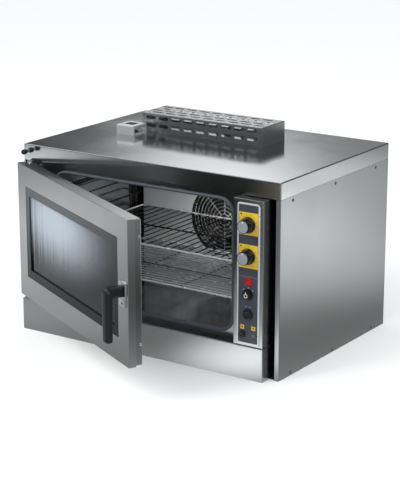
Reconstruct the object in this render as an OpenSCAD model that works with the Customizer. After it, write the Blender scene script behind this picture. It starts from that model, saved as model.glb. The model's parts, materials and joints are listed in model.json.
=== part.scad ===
// Counter-top combi steamer oven: a steel cabinet with a fan oven cavity, a side-hinged glazed
// door, a control column on the right, a steam vent and a slotted flue box on the top cover.
// Millimetres. X to the right, Y to the back, Z up. The origin is the centre of the underside.

/* [Cabinet] */
// Outside width of the casing
body_w = 900; // [896:1:904]
// Outside depth of the casing, without the fascia
body_d = 620; // [616:1:640]
// Height from the underside to the top of the cover
body_h = 570; // [568:1:572]
// Thickness of the casing sheet
sheet = 1.5; // [1.2:0.1:1.6]
// Height of the top cover's turned-down lip
lip_h = 48; // [47:1:49]
// How far the drip panel and the control column stand in front of the casing
fascia_proj = 34; // [33:0.5:35]
// Height of the drip panel under the door
plinth_h = 98; // [96:1:99]

/* [Control column] */
// Width of the control column
column_w = 96; // [95:1:97]
// Open slot between the control column and the right side flange
column_gap = 19; // [18:1:20]
// Width of the right side panel's front flange
flange_w = 14; // [13:1:15]
// Diameter of the timer and temperature knobs
knob_d = 46; // [44:1:50]

/* [Cavity] */
// Width of the cavity mouth
mouth_w = 622; // [620:1:624]
// Height of the cavity mouth
mouth_h = 375; // [372:1:377]
// Corner radius of the cavity mouth
mouth_r = 40; // [36:1:44]
// Width of the door gasket
gasket_w = 10; // [8:0.5:10.5]
// Width of a wire shelf
shelf_w = 600; // [590:1:602]
// Depth of a wire shelf
shelf_d = 384; // [370:1:386]
// Diameter of the hole in the air baffle
fan_hole_d = 230; // [220:1:236]

/* [Door] */
// Opening angle of the door as drawn
door_open = 28; // [0:1:60]
// Thickness of the whole door
door_t = 42; // [41:0.5:42]
// Margin of steel round the window, at the sides
window_side = 58; // [56:1:62]
// Margin of steel round the window, above and below
window_edge = 61; // [58:1:64]
// Width of the black border round the glass
border_w = 25; // [20:1:30]
// Length of the handle's grip
grip_l = 150; // [150:1:162]

/* [Top] */
// Width of the slotted flue box
flue_w = 438; // [436:1:440]
// Depth of the slotted flue box
flue_d = 130; // [128:1:132]
// Height of the slotted flue box
flue_h = 58; // [56:1:60]

/* [Hidden] */
$fn = 48;

// Casing planes
right = body_w / 2;
back = body_d / 2;
front = -body_d / 2;
lip_z = body_h - lip_h;
seam = 0.6;
panel_top = lip_z - seam;
fascia_y = front - fascia_proj;
frame_y = front + 5;            // front face of the front frame
frame_t = 2;
liner_y = frame_y + frame_t;    // front edge of the cavity liner

// Control column
column_x1 = right - flange_w - column_gap;
column_x0 = column_x1 - column_w;
column_z0 = plinth_h + 2;
column_z1 = lip_z - 2;
panel_x = column_x0 + 48.5;     // centre line of the controls
membrane_w = 63;
membrane_z0 = 110;
membrane_z1 = 505;
membrane_t = 0.8;
membrane_y = fascia_y - membrane_t;
timer_z = 449.5;
temp_z = 360;
pilot_z = 287.5;
pilot_size = [21, 23];
selector_z = 249;
steam_z = 192;
lamp_button_z = 133;
lamp_dx = 18;                   // offset of the small button and lamp from the centre line
spindle_r = 3;

// Cavity
mouth_x = -21;                  // centre of the mouth
mouth_z0 = 121;
mouth_z1 = mouth_z0 + mouth_h;
cavity_w = mouth_w + 40;
cavity_z0 = 118;
cavity_z1 = 500;
baffle_y = front + 430;
liner_back = front + 500;
wall = 1.5;
lagging = 25;
fan_z = 300;
fan_r = 100;
shaft_r = 7;
exchanger_y = front + 465;      // plane of the fan and the heat exchanger
rack_pitch = 53.4;
rail_z = [for (i = [0 : 5]) 144 + i * rack_pitch];
shelf_y = front + 40;
upper_z = rail_z[3] + 7;
lower_z = rail_z[1] + 5.8;
rack_x = shelf_w / 2 + 22;      // rack uprights, from the cavity's centre

// Door, as closed
door_x0 = -right + 7;
door_x1 = column_x0 - 6;
door_z0 = plinth_h + 12;
door_z1 = lip_z - 3;
door_back = frame_y - 7;
door_y = door_back - door_t;
skin_d = 22;                    // depth of the door's outer skin
split_y = door_y + skin_d;      // where the skin meets the inner pan
inner_x0 = door_x0 + 35;
inner_x1 = door_x1 - 2;
inner_z0 = door_z0 + 2.5;
inner_z1 = door_z1 - 1;
pivot_x = door_x0 + 18;
pivot_y = door_y + 16;
pin_r = 4;
fit = 0.05;                     // radial clearance of a running fit
leg_z = [122, 497];             // underside of each hinge leg
leg_t = 3;
leg_w = 20;
win_x0 = door_x0 + window_side;
win_x1 = door_x1 - window_side - 4;
win_z0 = door_z0 + window_edge + 8;
win_z1 = door_z1 - window_edge;
handle_x = door_x1 - 31;
keeper_x = handle_x + 21.5;
handle_z = 322;
spindle_d = 12;
grip_y = door_y - 58;           // front of the grip
grip_w = 40;
grip_t = 24;

// Top of the cabinet
flue_x = -50;
flue_y = front + 417;
vent_x = -275;
vent_y = front + 305;
vent_w = 64;
vent_d = 66;
vent_h = 29;
vent_r = 20;
rod_x = -423;
rod_z = 553;
rod_r = 4;
rod_in = 14;                    // how far the rod can still be pushed in
damper_r = 18;

// ---- Shared shapes ----

// A box from its low corner to its high corner
module block(a, b) {
    translate(a) cube([b[0] - a[0], b[1] - a[1], b[2] - a[2]]);
}

// A rectangle with round corners, centred
module round_rect(w, h, r) {
    square([w, h - 2 * r], center = true);
    square([w - 2 * r, h], center = true);
    for (x = [-1, 1], y = [-1, 1])
        translate([x * (w / 2 - r), y * (h / 2 - r)]) circle(r = r);
}

// A flat outline in the XZ plane made d thick, from y to y + d
module upright(x, y, z, d) {
    translate([x, y + d, z]) rotate([90, 0, 0]) linear_extrude(d) children();
}

// A cylinder along Y, from y0 to y1
module rod_y(x, z, y0, y1, r) {
    translate([x, y0, z]) rotate([-90, 0, 0]) cylinder(r = r, h = y1 - y0);
}

// A cylinder along X, from x0 to x1
module rod_x(x0, x1, y, z, r) {
    translate([x0, y, z]) rotate([0, 90, 0]) cylinder(r = r, h = x1 - x0);
}

// A cylinder along Z, from z0 to z1
module rod_z(x, y, z0, z1, r) {
    translate([x, y, z0]) cylinder(r = r, h = z1 - z0);
}

// A tube along Z
module tube_z(x, y, z0, z1, r, t) {
    difference() {
        rod_z(x, y, z0, z1, r);
        rod_z(x, y, z0 - 1, z1 + 1, r - t);
    }
}

// An open tray made of sheet: a face at y, with returns running back to y + d
module tray(x0, x1, y, z0, z1, d, t) {
    difference() {
        block([x0, y, z0], [x1, y + d, z1]);
        block([x0 + t, y + t, z0 + t], [x1 - t, y + d + 1, z1 - t]);
    }
}

// Puts closed-door geometry at the drawn opening angle
module door_pose() {
    translate([pivot_x, pivot_y, 0]) rotate([0, 0, -door_open])
        translate([-pivot_x, -pivot_y, 0]) children();
}

// ---- Casing ----

post = 18;                      // leg length of the chassis angles
post_y = 13;                    // from the casing's front or back to an angle
stand_x = 380;
stand_y = 240;
stand_hole_r = 4.5;
pan_wall = 30;
screw_y = [front + 64, front + 300, front + 540];
screw_z = [9, panel_top - 12];
screw_hole_r = 2.15;
post_top = body_h - sheet - 0.5;
inner_x = right - sheet - 0.1;

// Upright angle at a right-hand corner of the chassis, its cross leg at cross_y
module corner_post(y0, y1, cross_y) {
    block([inner_x - sheet, y0, 0], [inner_x, y1, post_top]);
    block([inner_x - post, cross_y, 0], [inner_x, cross_y + sheet, post_top]);
}

module chassis() {
    color("silver") difference() {
        union() {
            block([-inner_x, frame_y, 0], [inner_x, back - sheet - 0.2, sheet]);
            for (s = [0, 1]) mirror([s, 0, 0]) {
                for (rail = [[0, pan_wall], [panel_top - 44, post_top - 1]])
                    block([inner_x - sheet, front + post_y, rail[0]], [inner_x, back - post_y, rail[1]]);
                corner_post(front + post_y, front + post_y + post, front + post_y);
                corner_post(back - post_y - post, back - post_y, back - post_y - sheet);
            }
            block([-inner_x, back - 3.3, 0], [inner_x, back - 1.8, 22]);
        }
        for (x = [-1, 1], y = [-1, 1])
            rod_z(x * stand_x, y * stand_y, -1, sheet + 1, stand_hole_r);
        for (s = [-1, 1], y = screw_y, z = screw_z)
            rod_x(s * right - 6, s * right + 6, y, z, screw_hole_r);
    }
}

// A right-hand side panel with a turned-in front flange
module side_panel(flange) {
    x_in = right - sheet;
    difference() {
        union() {
            block([x_in, front, 0], [right, back, panel_top]);
            block([right - flange, front, 0], [right, front + sheet, panel_top]);
            if (flange > 10)
                block([right - flange, front, sheet + 0.2], [right - flange + sheet, front + 12, panel_top]);
        }
        for (y = screw_y, z = screw_z)
            rod_x(right - 6, right + 6, y, z, screw_hole_r);
    }
}

module left_side_panel() {
    color("gainsboro") mirror([1, 0, 0]) side_panel(6);
}

module right_side_panel() {
    color("gainsboro") side_panel(flange_w);
}

gas_x = 380;
gas_z = 60;
water_x = 300;
water_z = 250;
drain_x = -300;
drain_z = 55;
gland_x = 400;
gland_z = 200;

module back_panel() {
    color("silver") difference() {
        block([-right + sheet + 0.1, back - sheet, sheet + 0.1],
            [right - sheet - 0.1, back, panel_top]);
        rod_y(gas_x, gas_z, back - 5, back + 1, 10.6);
        rod_y(water_x, water_z, back - 5, back + 1, 13.4);
        rod_y(drain_x, drain_z, back - 5, back + 1, 20.2);
        rod_y(gland_x, gland_z, back - 5, back + 1, 10.1);
        for (i = [-6 : 6], k = [0, 1])
            upright(mouth_x + i * 22, back - 5, 420 - k * 260, 10) round_rect(8, 60, 3.9);
    }
}

module top_cover() {
    color("lightgray") difference() {
        block([-right, front, lip_z], [right, back, body_h]);
        block([-right + sheet, front + sheet, lip_z - 1], [right - sheet, back - sheet, body_h - sheet]);
        rod_z(mouth_x, exchanger_y, body_h - 5, body_h + 1, 16);
        rod_z(vent_x, vent_y, body_h - 5, body_h + 1, vent_r + 0.5);
        rod_y(rod_x, rod_z, front - 1, front + 5, 6.1);
    }
}

// Pan head screws through the side panels into the chassis
module casing_screws() {
    color("dimgray") for (s = [0, 1], y = screw_y, z = screw_z)
        mirror([s, 0, 0]) {
            rod_x(right, right + 2.2, y, z, 4.5);
            rod_x(right - 5, right + 0.5, y, z, 2);
        }
}

module front_frame() {
    color("silver") difference() {
        block([-right + 4, frame_y, sheet + 0.2], [column_x0 - 2, liner_y, body_h - sheet - 0.5]);
        upright(mouth_x, frame_y - 1, (mouth_z0 + mouth_z1) / 2, 5) round_rect(mouth_w, mouth_h, mouth_r);
        block([-inner_x - 5, frame_y - 1, 0], [-inner_x + 3, liner_y + 1, body_h]);
        rod_y(keeper_x, handle_z, frame_y - 1, liner_y + 1, 3);
        block([rod_x - 9, frame_y - 1, rod_z - 9], [rod_x + 9, liner_y + 1, rod_z + 9]);
    }
}

module drip_panel() {
    color("gainsboro") difference() {
        block([-right + 7, fascia_y, 0], [column_x1, frame_y - 0.7, plinth_h]);
        block([-right + 7 + sheet, fascia_y + sheet, -1],
            [column_x1 - sheet, frame_y + 1, plinth_h - sheet]);
    }
}

// ---- Control column ----

border_t = 5;                   // width of the raised border round the membrane
border_p = 2;                   // how far the border stands proud

module control_fascia() {
    mid_z = (membrane_z0 + membrane_z1) / 2;
    mem_h = membrane_z1 - membrane_z0;
    color("whitesmoke") difference() {
        union() {
            difference() {
                block([column_x0, fascia_y, column_z0], [column_x1, frame_y - 0.2, column_z1]);
                block([column_x0 + sheet, fascia_y + sheet, column_z0 + sheet],
                    [column_x1 - sheet, frame_y + 1, column_z1 - sheet]);
            }
            difference() {
                upright(panel_x, fascia_y - border_p, mid_z, border_p + 0.5)
                    round_rect(membrane_w + 2 * border_t, mem_h + 2 * border_t, 6);
                upright(panel_x, fascia_y - border_p - 1, mid_z, border_p + 1)
                    round_rect(membrane_w, mem_h, 2.5);
            }
            block([column_x1 - sheet, frame_y - 0.5, sheet + 0.2], [column_x1, front + 240, column_z1]);
        }
        for (z = [timer_z, temp_z, selector_z]) rod_y(panel_x, z, fascia_y - 1, fascia_y + 4, 5);
        rod_y(panel_x, steam_z, fascia_y - 1, fascia_y + 4, 5);
        for (s = [-1, 1]) rod_y(panel_x + s * lamp_dx, lamp_button_z, fascia_y - 1, fascia_y + 4, 3.2);
        upright(panel_x, fascia_y - 1, pilot_z, 5) square([12, 10], center = true);
    }
}

module control_membrane() {
    mid_z = (membrane_z0 + membrane_z1) / 2;
    color("darkslategray") difference() {
        upright(panel_x, membrane_y, mid_z, membrane_t)
            round_rect(membrane_w - 0.4, membrane_z1 - membrane_z0 - 0.4, 2.3);
        for (z = [timer_z, temp_z, selector_z, steam_z]) rod_y(panel_x, z, membrane_y - 1, fascia_y + 1, 5);
        for (s = [-1, 1]) rod_y(panel_x + s * lamp_dx, lamp_button_z, membrane_y - 1, fascia_y + 1, 3.2);
        upright(panel_x, membrane_y - 1, pilot_z, 3) square([12, 10], center = true);
    }
}

module pilot_lamp() {
    color("red") {
        upright(panel_x, membrane_y - 2.5, pilot_z, 2.5) round_rect(pilot_size[0], pilot_size[1], 1.5);
        upright(panel_x, membrane_y - 0.5, pilot_z, 12) square([11.6, 9.6], center = true);
    }
}

module indicator_lamp() {
    color("gray") {
        rod_y(panel_x + lamp_dx, lamp_button_z, membrane_y - 1.6, membrane_y, 4);
        rod_y(panel_x + lamp_dx, lamp_button_z, membrane_y - 0.5, membrane_y + 12, 3);
    }
}

// Timer, thermostat, selector and push button bodies behind the fascia
module panel_switches() {
    y0 = fascia_y + sheet;
    color("ivory") {
        for (z = [timer_z, temp_z]) difference() {
            block([panel_x - 22, y0, z - 24], [panel_x + 22, y0 + 42, z + 24]);
            rod_y(panel_x, z, y0 - 1, y0 + 30, spindle_r + fit);
        }
        difference() {
            block([panel_x - 16, y0, selector_z - 18], [panel_x + 16, y0 + 34, selector_z + 18]);
            rod_y(panel_x, selector_z, y0 - 1, y0 + 25, spindle_r + fit);
        }
        difference() {
            block([panel_x - 14, y0, steam_z - 14], [panel_x + 14, y0 + 30, steam_z + 14]);
            rod_y(panel_x, steam_z, y0 - 1, y0 + 20, 4 + fit);
        }
        difference() {
            block([panel_x - lamp_dx - 10, y0, lamp_button_z - 10],
                [panel_x - lamp_dx + 10, y0 + 30, lamp_button_z + 10]);
            rod_y(panel_x - lamp_dx, lamp_button_z, y0 - 1, y0 + 20, 2.6 + fit);
        }
    }
}

knob_h = 31;
knob_skirt = 8;

// A control knob: a skirt, a body and a flat cap, on its spindle
module knob(z, d, h) {
    y0 = membrane_y - 1.2;
    rod_y(panel_x, z, y0 - knob_skirt, y0, d / 2);
    rod_y(panel_x, z, y0 - h + 1.5, y0 - knob_skirt, d / 2 * 0.86);
    rod_y(panel_x, z, y0 - h, y0 - h + 1.5, d / 2 * 0.8);
    rod_y(panel_x, z, y0 - 1, fascia_y + sheet + 28, spindle_r);
}

module timer_knob() {
    color("black") knob(timer_z, knob_d, knob_h);
}

module temperature_knob() {
    color("black") knob(temp_z, knob_d, knob_h);
}

module selector_knob() {
    y0 = membrane_y - 0.8;
    color("black") {
        rod_y(panel_x, selector_z, y0 - 13, y0, 12.5);
        rod_y(panel_x, selector_z, y0 - 14, y0 - 12.5, 5.5);
        rod_y(panel_x, selector_z, y0 - 1, fascia_y + sheet + 23, spindle_r);
    }
}

// A round push button on its stem
module push_button(x, z, r, stem_r) {
    y0 = membrane_y - 4.2;
    rod_y(x, z, y0 - 4, y0, r);
    rod_y(x, z, y0 - 1, fascia_y + sheet + 15, stem_r);
}

module steam_button() {
    color("black") push_button(panel_x, steam_z, 14, 4);
}

module lamp_button() {
    color("black") push_button(panel_x - lamp_dx, lamp_button_z, 8.5, 2.6);
}

// ---- Cavity ----

module cavity_liner() {
    cx = cavity_w / 2;
    color("silver") difference() {
        block([mouth_x - cx - wall, liner_y, cavity_z0 - wall],
            [mouth_x + cx + wall, liner_back + wall, cavity_z1 + wall]);
        block([mouth_x - cx, liner_y - 1, cavity_z0], [mouth_x + cx, liner_back, cavity_z1]);
        rod_z(mouth_x, exchanger_y, cavity_z1 - 5, cavity_z1 + 5, 15.5);
        rod_z(vent_x, vent_y, cavity_z1 - 5, cavity_z1 + 5, vent_r - 1.5);
        rod_z(mouth_x, exchanger_y, cavity_z0 - 5, cavity_z0 + 5, 15.5);
        rod_z(drain_x, 0, cavity_z0 - 5, cavity_z0 + 5, 18.5);
        rod_y(mouth_x, fan_z, liner_back - 5, liner_back + 5, shaft_r + 2);
        rod_y(mouth_x + 118, water_z, liner_back - 5, liner_back + 5, 4.2);
        rod_x(mouth_x + cx - 5, mouth_x + cx + 5, -40, 400, 22);
    }
}

// Mineral wool round the cavity
module insulation() {
    cx = cavity_w / 2 + wall;
    color("khaki") difference() {
        block([mouth_x - cx - lagging, liner_y + 1, cavity_z0 - wall - lagging],
            [mouth_x + cx + lagging, liner_back + wall + lagging, cavity_z1 + wall + lagging]);
        block([mouth_x - cx - 0.1, liner_y, cavity_z0 - wall - 0.1],
            [mouth_x + cx + 0.1, liner_back + wall + 0.1, cavity_z1 + wall + 0.1]);
        rod_z(mouth_x, exchanger_y, 0, body_h, 16);
        rod_z(vent_x, vent_y, 300, body_h, vent_r + 1);
        rod_z(vent_x, vent_y, 300, cavity_z1 + wall + 1.3, vent_r + 4.5);
        rod_z(drain_x, 0, 0, 300, 21);
        rod_y(mouth_x, fan_z, 100, back, 76);
        rod_y(mouth_x + 118, water_z, 100, back, 5);
        rod_x(100, right, -40, 400, 27);
    }
}

module door_gasket() {
    mid_z = (mouth_z0 + mouth_z1) / 2;
    color("slategray") difference() {
        union() {
            upright(mouth_x, frame_y - 4.5, mid_z, 4.5)
                round_rect(mouth_w + 2 * gasket_w, mouth_h + 2 * gasket_w, mouth_r + gasket_w);
            upright(mouth_x, frame_y - 6.5, mid_z, 3)
                round_rect(mouth_w + 2 * gasket_w - 4, mouth_h + 2 * gasket_w - 4, mouth_r + gasket_w - 2);
        }
        upright(mouth_x, frame_y - 8, mid_z, 10) round_rect(mouth_w, mouth_h, mouth_r);
        upright(mouth_x, frame_y - 8, mid_z, 3.5) round_rect(mouth_w + 4, mouth_h + 4, mouth_r + 2);
    }
}

// A side rack: two uprights with U-shaped runners that a shelf's edge rests on
module rack(s) {
    x_up = mouth_x + s * rack_x;
    x_in = mouth_x + s * (shelf_w / 2 - 6);
    y0 = shelf_y + 14;
    y1 = shelf_y + shelf_d - 14;
    for (y = [y0, y1]) rod_z(x_up, y, cavity_z0, rail_z[5] + 28, 3);
    for (z = rail_z) {
        rod_y(x_in, z, y0 - 4, y1 + 4, 2.5);
        for (y = [y0, y1]) rod_x(min(x_in, x_up), max(x_in, x_up), y, z, 2.2);
    }
    rod_y(x_up, rail_z[5] + 20, y0, y1, 2.6);
}

module left_rack() {
    color("silver") rack(-1);
}

module right_rack() {
    color("silver") rack(1);
}

rail_r = 3;
wire_r = 1.7;

// The frame of a wire shelf, its rods' centres on z
module shelf_frame(z) {
    for (s = [-1, 1])
        rod_y(mouth_x + s * (shelf_w / 2 - rail_r), z, shelf_y, shelf_y + shelf_d, rail_r);
    for (y = [shelf_y + 5, shelf_y + shelf_d - 5])
        rod_x(mouth_x - shelf_w / 2 + rail_r, mouth_x + shelf_w / 2 - rail_r, y, z, rail_r - 0.3);
}

// Wires run front to back
module upper_shelf() {
    n = 20;
    step = (shelf_w - 2 * rail_r) / (n + 1);
    color("lightgray") {
        shelf_frame(upper_z);
        for (i = [1 : n])
            rod_y(mouth_x - shelf_w / 2 + rail_r + i * step, upper_z, shelf_y + 5,
                shelf_y + shelf_d - 5, wire_r);
        rod_x(mouth_x - shelf_w / 2 + 2, mouth_x + shelf_w / 2 - 2,
            shelf_y + shelf_d / 2, upper_z - 1.9, rail_r - 0.7);
    }
}

// Wires run from side to side
module lower_shelf() {
    n = 18;
    step = (shelf_d - 10) / (n + 1);
    color("lightgray") {
        shelf_frame(lower_z);
        for (i = [1 : n])
            rod_x(mouth_x - shelf_w / 2 + rail_r, mouth_x + shelf_w / 2 - rail_r,
                shelf_y + 5 + i * step, lower_z, wire_r);
        for (s = [-1, 1])
            rod_y(mouth_x + s * shelf_w / 6, lower_z - 1.9, shelf_y + 4,
                shelf_y + shelf_d - 4, rail_r - 0.7);
    }
}

// Polished plate that parts the fan compartment from the cavity, open along both sides
module air_baffle() {
    w = cavity_w - 60;
    color("silver") difference() {
        union() {
            block([mouth_x - w / 2, baffle_y, cavity_z0 + 3], [mouth_x + w / 2, baffle_y + wall, cavity_z1 - 8]);
            for (s = [-1, 1])
                block([mouth_x + s * (w / 2 - wall / 2) - wall / 2, baffle_y, cavity_z0 + 3],
                    [mouth_x + s * (w / 2 - wall / 2) + wall / 2, baffle_y + 20, cavity_z1 - 8]);
            for (x = [-1, 1], z = [cavity_z0 + 20, cavity_z1 - 25])
                rod_y(mouth_x + x * (w / 2 - 20), z, baffle_y, liner_back, 4);
        }
        rod_y(mouth_x, fan_z, baffle_y - 1, baffle_y + 5, fan_hole_d / 2);
    }
}

module fan_collar() {
    r = fan_hole_d / 2;
    color("black") translate([mouth_x, baffle_y, fan_z]) rotate([-90, 0, 0]) difference() {
        union() {
            cylinder(r = r, h = 24);
            translate([0, 0, wall]) cylinder(r = r + 6, h = 1.5);
        }
        translate([0, 0, -1]) cylinder(r = r - 2, h = 30);
    }
}

guard_y = baffle_y + 12;

// Concentric rings on radial wires
module fan_guard() {
    r = fan_hole_d / 2 - 2;
    color("silver") {
        for (i = [1 : 9])
            translate([mouth_x, guard_y, fan_z]) rotate([-90, 0, 0])
                rotate_extrude() translate([r * (i + 0.6) / 9.9, 0]) circle(r = 1.1, $fn = 24);
        for (a = [0 : 45 : 315])
            translate([mouth_x, guard_y + 1.6, fan_z]) rotate([0, a, 0])
                translate([0, 0, r * 0.15]) cylinder(r = 1.3, h = r * 0.85 - 0.6);
    }
}

impeller_y0 = baffle_y + 26;

module fan_impeller() {
    blades = 12;
    color("gray") difference() {
        union() {
            rod_y(mouth_x, fan_z, impeller_y0 + 26, impeller_y0 + 28, fan_r);
            rod_y(mouth_x, fan_z, impeller_y0 + 4, impeller_y0 + 30, 16);
            for (a = [0 : 360 / blades : 359])
                translate([mouth_x, 0, fan_z]) rotate([0, a, 0]) translate([0, 0, 72])
                    rotate([0, 35, 0]) block([-1, impeller_y0, -24], [1, impeller_y0 + 27, 24]);
        }
        rod_y(mouth_x, fan_z, impeller_y0 - 1, impeller_y0 + 40, shaft_r);
    }
}

motor_y = liner_back + wall;

module fan_shaft() {
    color("silver") {
        rod_y(mouth_x, fan_z, impeller_y0, motor_y + 80, shaft_r);
        rod_y(mouth_x, fan_z, impeller_y0 - 6, impeller_y0 + 4, 11);
    }
}

module fan_motor() {
    color("dimgray") difference() {
        union() {
            rod_y(mouth_x, fan_z, motor_y, motor_y + 5, 72);
            rod_y(mouth_x, fan_z, motor_y + 4, motor_y + 98, 58);
            for (a = [0 : 20 : 359])
                translate([mouth_x, 0, fan_z]) rotate([0, a, 0])
                    block([-1.2, motor_y + 14, 50], [1.2, motor_y + 88, 64]);
        }
        rod_y(mouth_x, fan_z, motor_y - 1, motor_y + 90, shaft_r + fit);
    }
}

// Ring tube round the fan, fed from the burner below, with its outlet up to the flue box
module heat_exchanger() {
    ring_r = 150;
    tube_r = 14;
    color("dimgray") difference() {
        union() {
            translate([mouth_x, exchanger_y, fan_z]) rotate([-90, 0, 0])
                rotate_extrude() translate([ring_r, 0]) circle(r = tube_r);
            rod_z(mouth_x, exchanger_y, 82, fan_z - ring_r, 15);
            rod_z(mouth_x, exchanger_y, fan_z + ring_r, body_h + 12, 15);
        }
        rod_z(mouth_x, exchanger_y, 80, fan_z - ring_r - 15, 13);
        rod_z(mouth_x, exchanger_y, fan_z + ring_r + 15, body_h + 13, 13);
    }
}

module burner() {
    color("slategray") {
        block([mouth_x - 150, exchanger_y - 18, 50], [mouth_x + 150, exchanger_y + 18, 80]);
        rod_x(mouth_x + 148, gas_x - 40, exchanger_y, gas_z, 6);
    }
}

nut_y = back + 0.3;              // inner face of the nuts outside the back panel
nut_t = 4;

module gas_valve() {
    color("goldenrod") difference() {
        union() {
            block([gas_x - 40, exchanger_y - 35, 35], [gas_x + 15, exchanger_y + 35, 88]);
            rod_y(gas_x, gas_z, exchanger_y + 30, nut_y + 1, 9.9);
            rod_y(gas_x, gas_z, back - 14, back - 3.5, 16);
            upright(gas_x, nut_y, gas_z, nut_t) circle(r = 16, $fn = 6);
            rod_y(gas_x, gas_z, nut_y + nut_t, back + 24, 10.5);
        }
        rod_y(gas_x, gas_z, exchanger_y + 60, back + 25, 8);
    }
}

module water_valve() {
    color("royalblue") difference() {
        union() {
            block([water_x - 22, back - 70, water_z - 20], [water_x + 22, back - 20, water_z + 30]);
            rod_y(water_x, water_z, back - 25, nut_y + 1, 12.6);
            rod_y(water_x, water_z, back - 12, back - 1.6, 18);
            upright(water_x, nut_y, water_z, nut_t) circle(r = 19, $fn = 6);
            rod_y(water_x, water_z, nut_y + nut_t, back + 18, 13.2);
        }
        rod_y(water_x, water_z, back - 10, back + 19, 9);
    }
}

// From the solenoid valve to the injector beside the fan
module water_pipe() {
    pipe_y = back - 45;
    x_tip = mouth_x + 118;
    color("peru") {
        rod_x(x_tip, water_x - 22, pipe_y, water_z, 3);
        translate([x_tip, pipe_y, water_z]) sphere(r = 3);
        rod_y(x_tip, water_z, impeller_y0 + 8, pipe_y, 3);
    }
}

module drain_pipe() {
    color("gray") {
        difference() {
            union() {
                rod_z(drain_x, 0, drain_z, cavity_z0 - wall, 20);
                rod_y(drain_x, drain_z, 0, nut_y + 1, 19.6);
                rod_y(drain_x, drain_z, back - 12, back - 1.6, 25);
                rod_y(drain_x, drain_z, nut_y, nut_y + nut_t, 25);
                rod_y(drain_x, drain_z, nut_y + nut_t, back + 42, 20);
                translate([drain_x, 0, drain_z]) sphere(r = 20);
            }
            rod_z(drain_x, 0, drain_z, cavity_z0 + 1, 18);
            rod_y(drain_x, drain_z, 0, back + 43, 18);
            translate([drain_x, 0, drain_z]) sphere(r = 18);
        }
    }
}

module cable_gland() {
    color("black") difference() {
        union() {
            rod_y(gland_x, gland_z, back - 12, back + 3, 10);
            upright(gland_x, back, gland_z, 8) circle(r = 16, $fn = 6);
            rod_y(gland_x, gland_z, back + 7, back + 24, 12);
            rod_y(gland_x, gland_z, back - 12, back - 1.6, 14);
        }
        rod_y(gland_x, gland_z, back - 13, back + 25, 7.5);
    }
}

module cavity_lamp() {
    x0 = mouth_x + cavity_w / 2;
    color("gray") {
        rod_x(x0 + 2, x0 + 24, -40, 400, 21);
        rod_x(x0 + wall, x0 + wall + 2, -40, 400, 26);
    }
}

module lamp_lens() {
    x0 = mouth_x + cavity_w / 2;
    color("white") {
        rod_x(x0 - 5, x0 - 0.05, -40, 400, 27);
        rod_x(x0 - 1, x0 + wall - 0.05, -40, 400, 21.5);
    }
}

// Capillary bulb held by two clips on the baffle
module thermostat_bulb() {
    x0 = mouth_x - 128;
    z0 = fan_z + 78;
    color("silver") {
        rod_x(x0, x0 + 70, baffle_y - 8, z0, 3);
        for (x = [x0 + 12, x0 + 50])
            block([x, baffle_y - 8, z0 - 5], [x + 7, baffle_y, z0 + 5]);
    }
}

// ---- Top of the cabinet ----

slot_w = 36;
slot_h = 11;
slot_pitch = 46;

// A row of round-ended slots along X, in the XY plane
module slot_row(n, shift) {
    for (i = [0 : n - 1])
        translate([(i - (n - 1) / 2) * slot_pitch + shift, 0]) round_rect(slot_w, slot_h, 5.4);
}

module flue_box() {
    t = 1.2;
    z1 = body_h + flue_h;
    color("silver") difference() {
        block([flue_x - flue_w / 2, flue_y - flue_d / 2, body_h],
            [flue_x + flue_w / 2, flue_y + flue_d / 2, z1]);
        block([flue_x - flue_w / 2 + t, flue_y - flue_d / 2 + t, body_h - 1],
            [flue_x + flue_w / 2 - t, flue_y + flue_d / 2 - t, z1 - t]);
        for (z = [z1 - 13, z1 - 38])
            upright(flue_x, flue_y - flue_d / 2 - 5, z, flue_d + 10) slot_row(9, 0);
        for (k = [0 : 3])
            translate([flue_x, flue_y + (k - 1.5) * 28, z1 - 3]) linear_extrude(5)
                slot_row(9, k % 2 == 0 ? 11 : -11);
    }
}

module vent_pipe() {
    color("silver") difference() {
        union() {
            tube_z(vent_x, vent_y, cavity_z1 + wall, body_h + 6, vent_r, 1.5);
            tube_z(vent_x, vent_y, cavity_z1 + wall, cavity_z1 + wall + 1, vent_r + 4, 5.5);
        }
        block([vent_x - damper_r - 1, vent_y - 30, rod_z - 2],
            [vent_x + damper_r + 1, vent_y, rod_z + 2]);
    }
}

// Square chromed hood with an opening in its top and in its right side
module steam_vent_box() {
    t = 1.5;
    z1 = body_h + vent_h;
    x0 = vent_x - vent_w / 2;
    x1 = vent_x + vent_w / 2;
    y0 = vent_y - vent_d / 2;
    y1 = vent_y + vent_d / 2;
    color("white") difference() {
        block([x0, y0, body_h], [x1, y1, z1]);
        block([x0 + t, y0 + t, body_h - 1], [x1 - t, y1 - t, z1 - t]);
        block([x0 + 14, y0 + 16, z1 - 5], [x1 - 14, y1 - 16, z1 + 1]);
        block([x1 - 5, y0 + 5, body_h + 4], [x1 + 1, y1 - 5, z1 - 5]);
    }
}

module vent_bushing() {
    color("black") difference() {
        union() {
            rod_y(rod_x, rod_z, front - 7, front, 8);
            rod_y(rod_x, rod_z, front - 1, front + sheet + 6, 6);
        }
        rod_y(rod_x, rod_z, front - 8, front + sheet + 7, rod_r + fit);
    }
}

// Pull rod with the damper plate whose round end slides across the vent pipe
module vent_rod() {
    arm_y = vent_y - 50;
    color("silver") {
        rod_y(rod_x, rod_z, front - 24, arm_y + 20, rod_r);
        block([rod_x - 3, arm_y, rod_z - 1], [vent_x + damper_r, arm_y + 14, rod_z + 1]);
        block([vent_x - damper_r, arm_y, rod_z - 1], [vent_x + damper_r, vent_y - rod_in, rod_z + 1]);
        rod_z(vent_x, vent_y - rod_in, rod_z - 1, rod_z + 1, damper_r);
    }
}

module vent_knob() {
    color("black") difference() {
        rod_y(rod_x, rod_z, front - 38, front - 20, 8);
        rod_y(rod_x, rod_z, front - 24, front - 19, rod_r);
    }
}

// ---- Door ----

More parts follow.
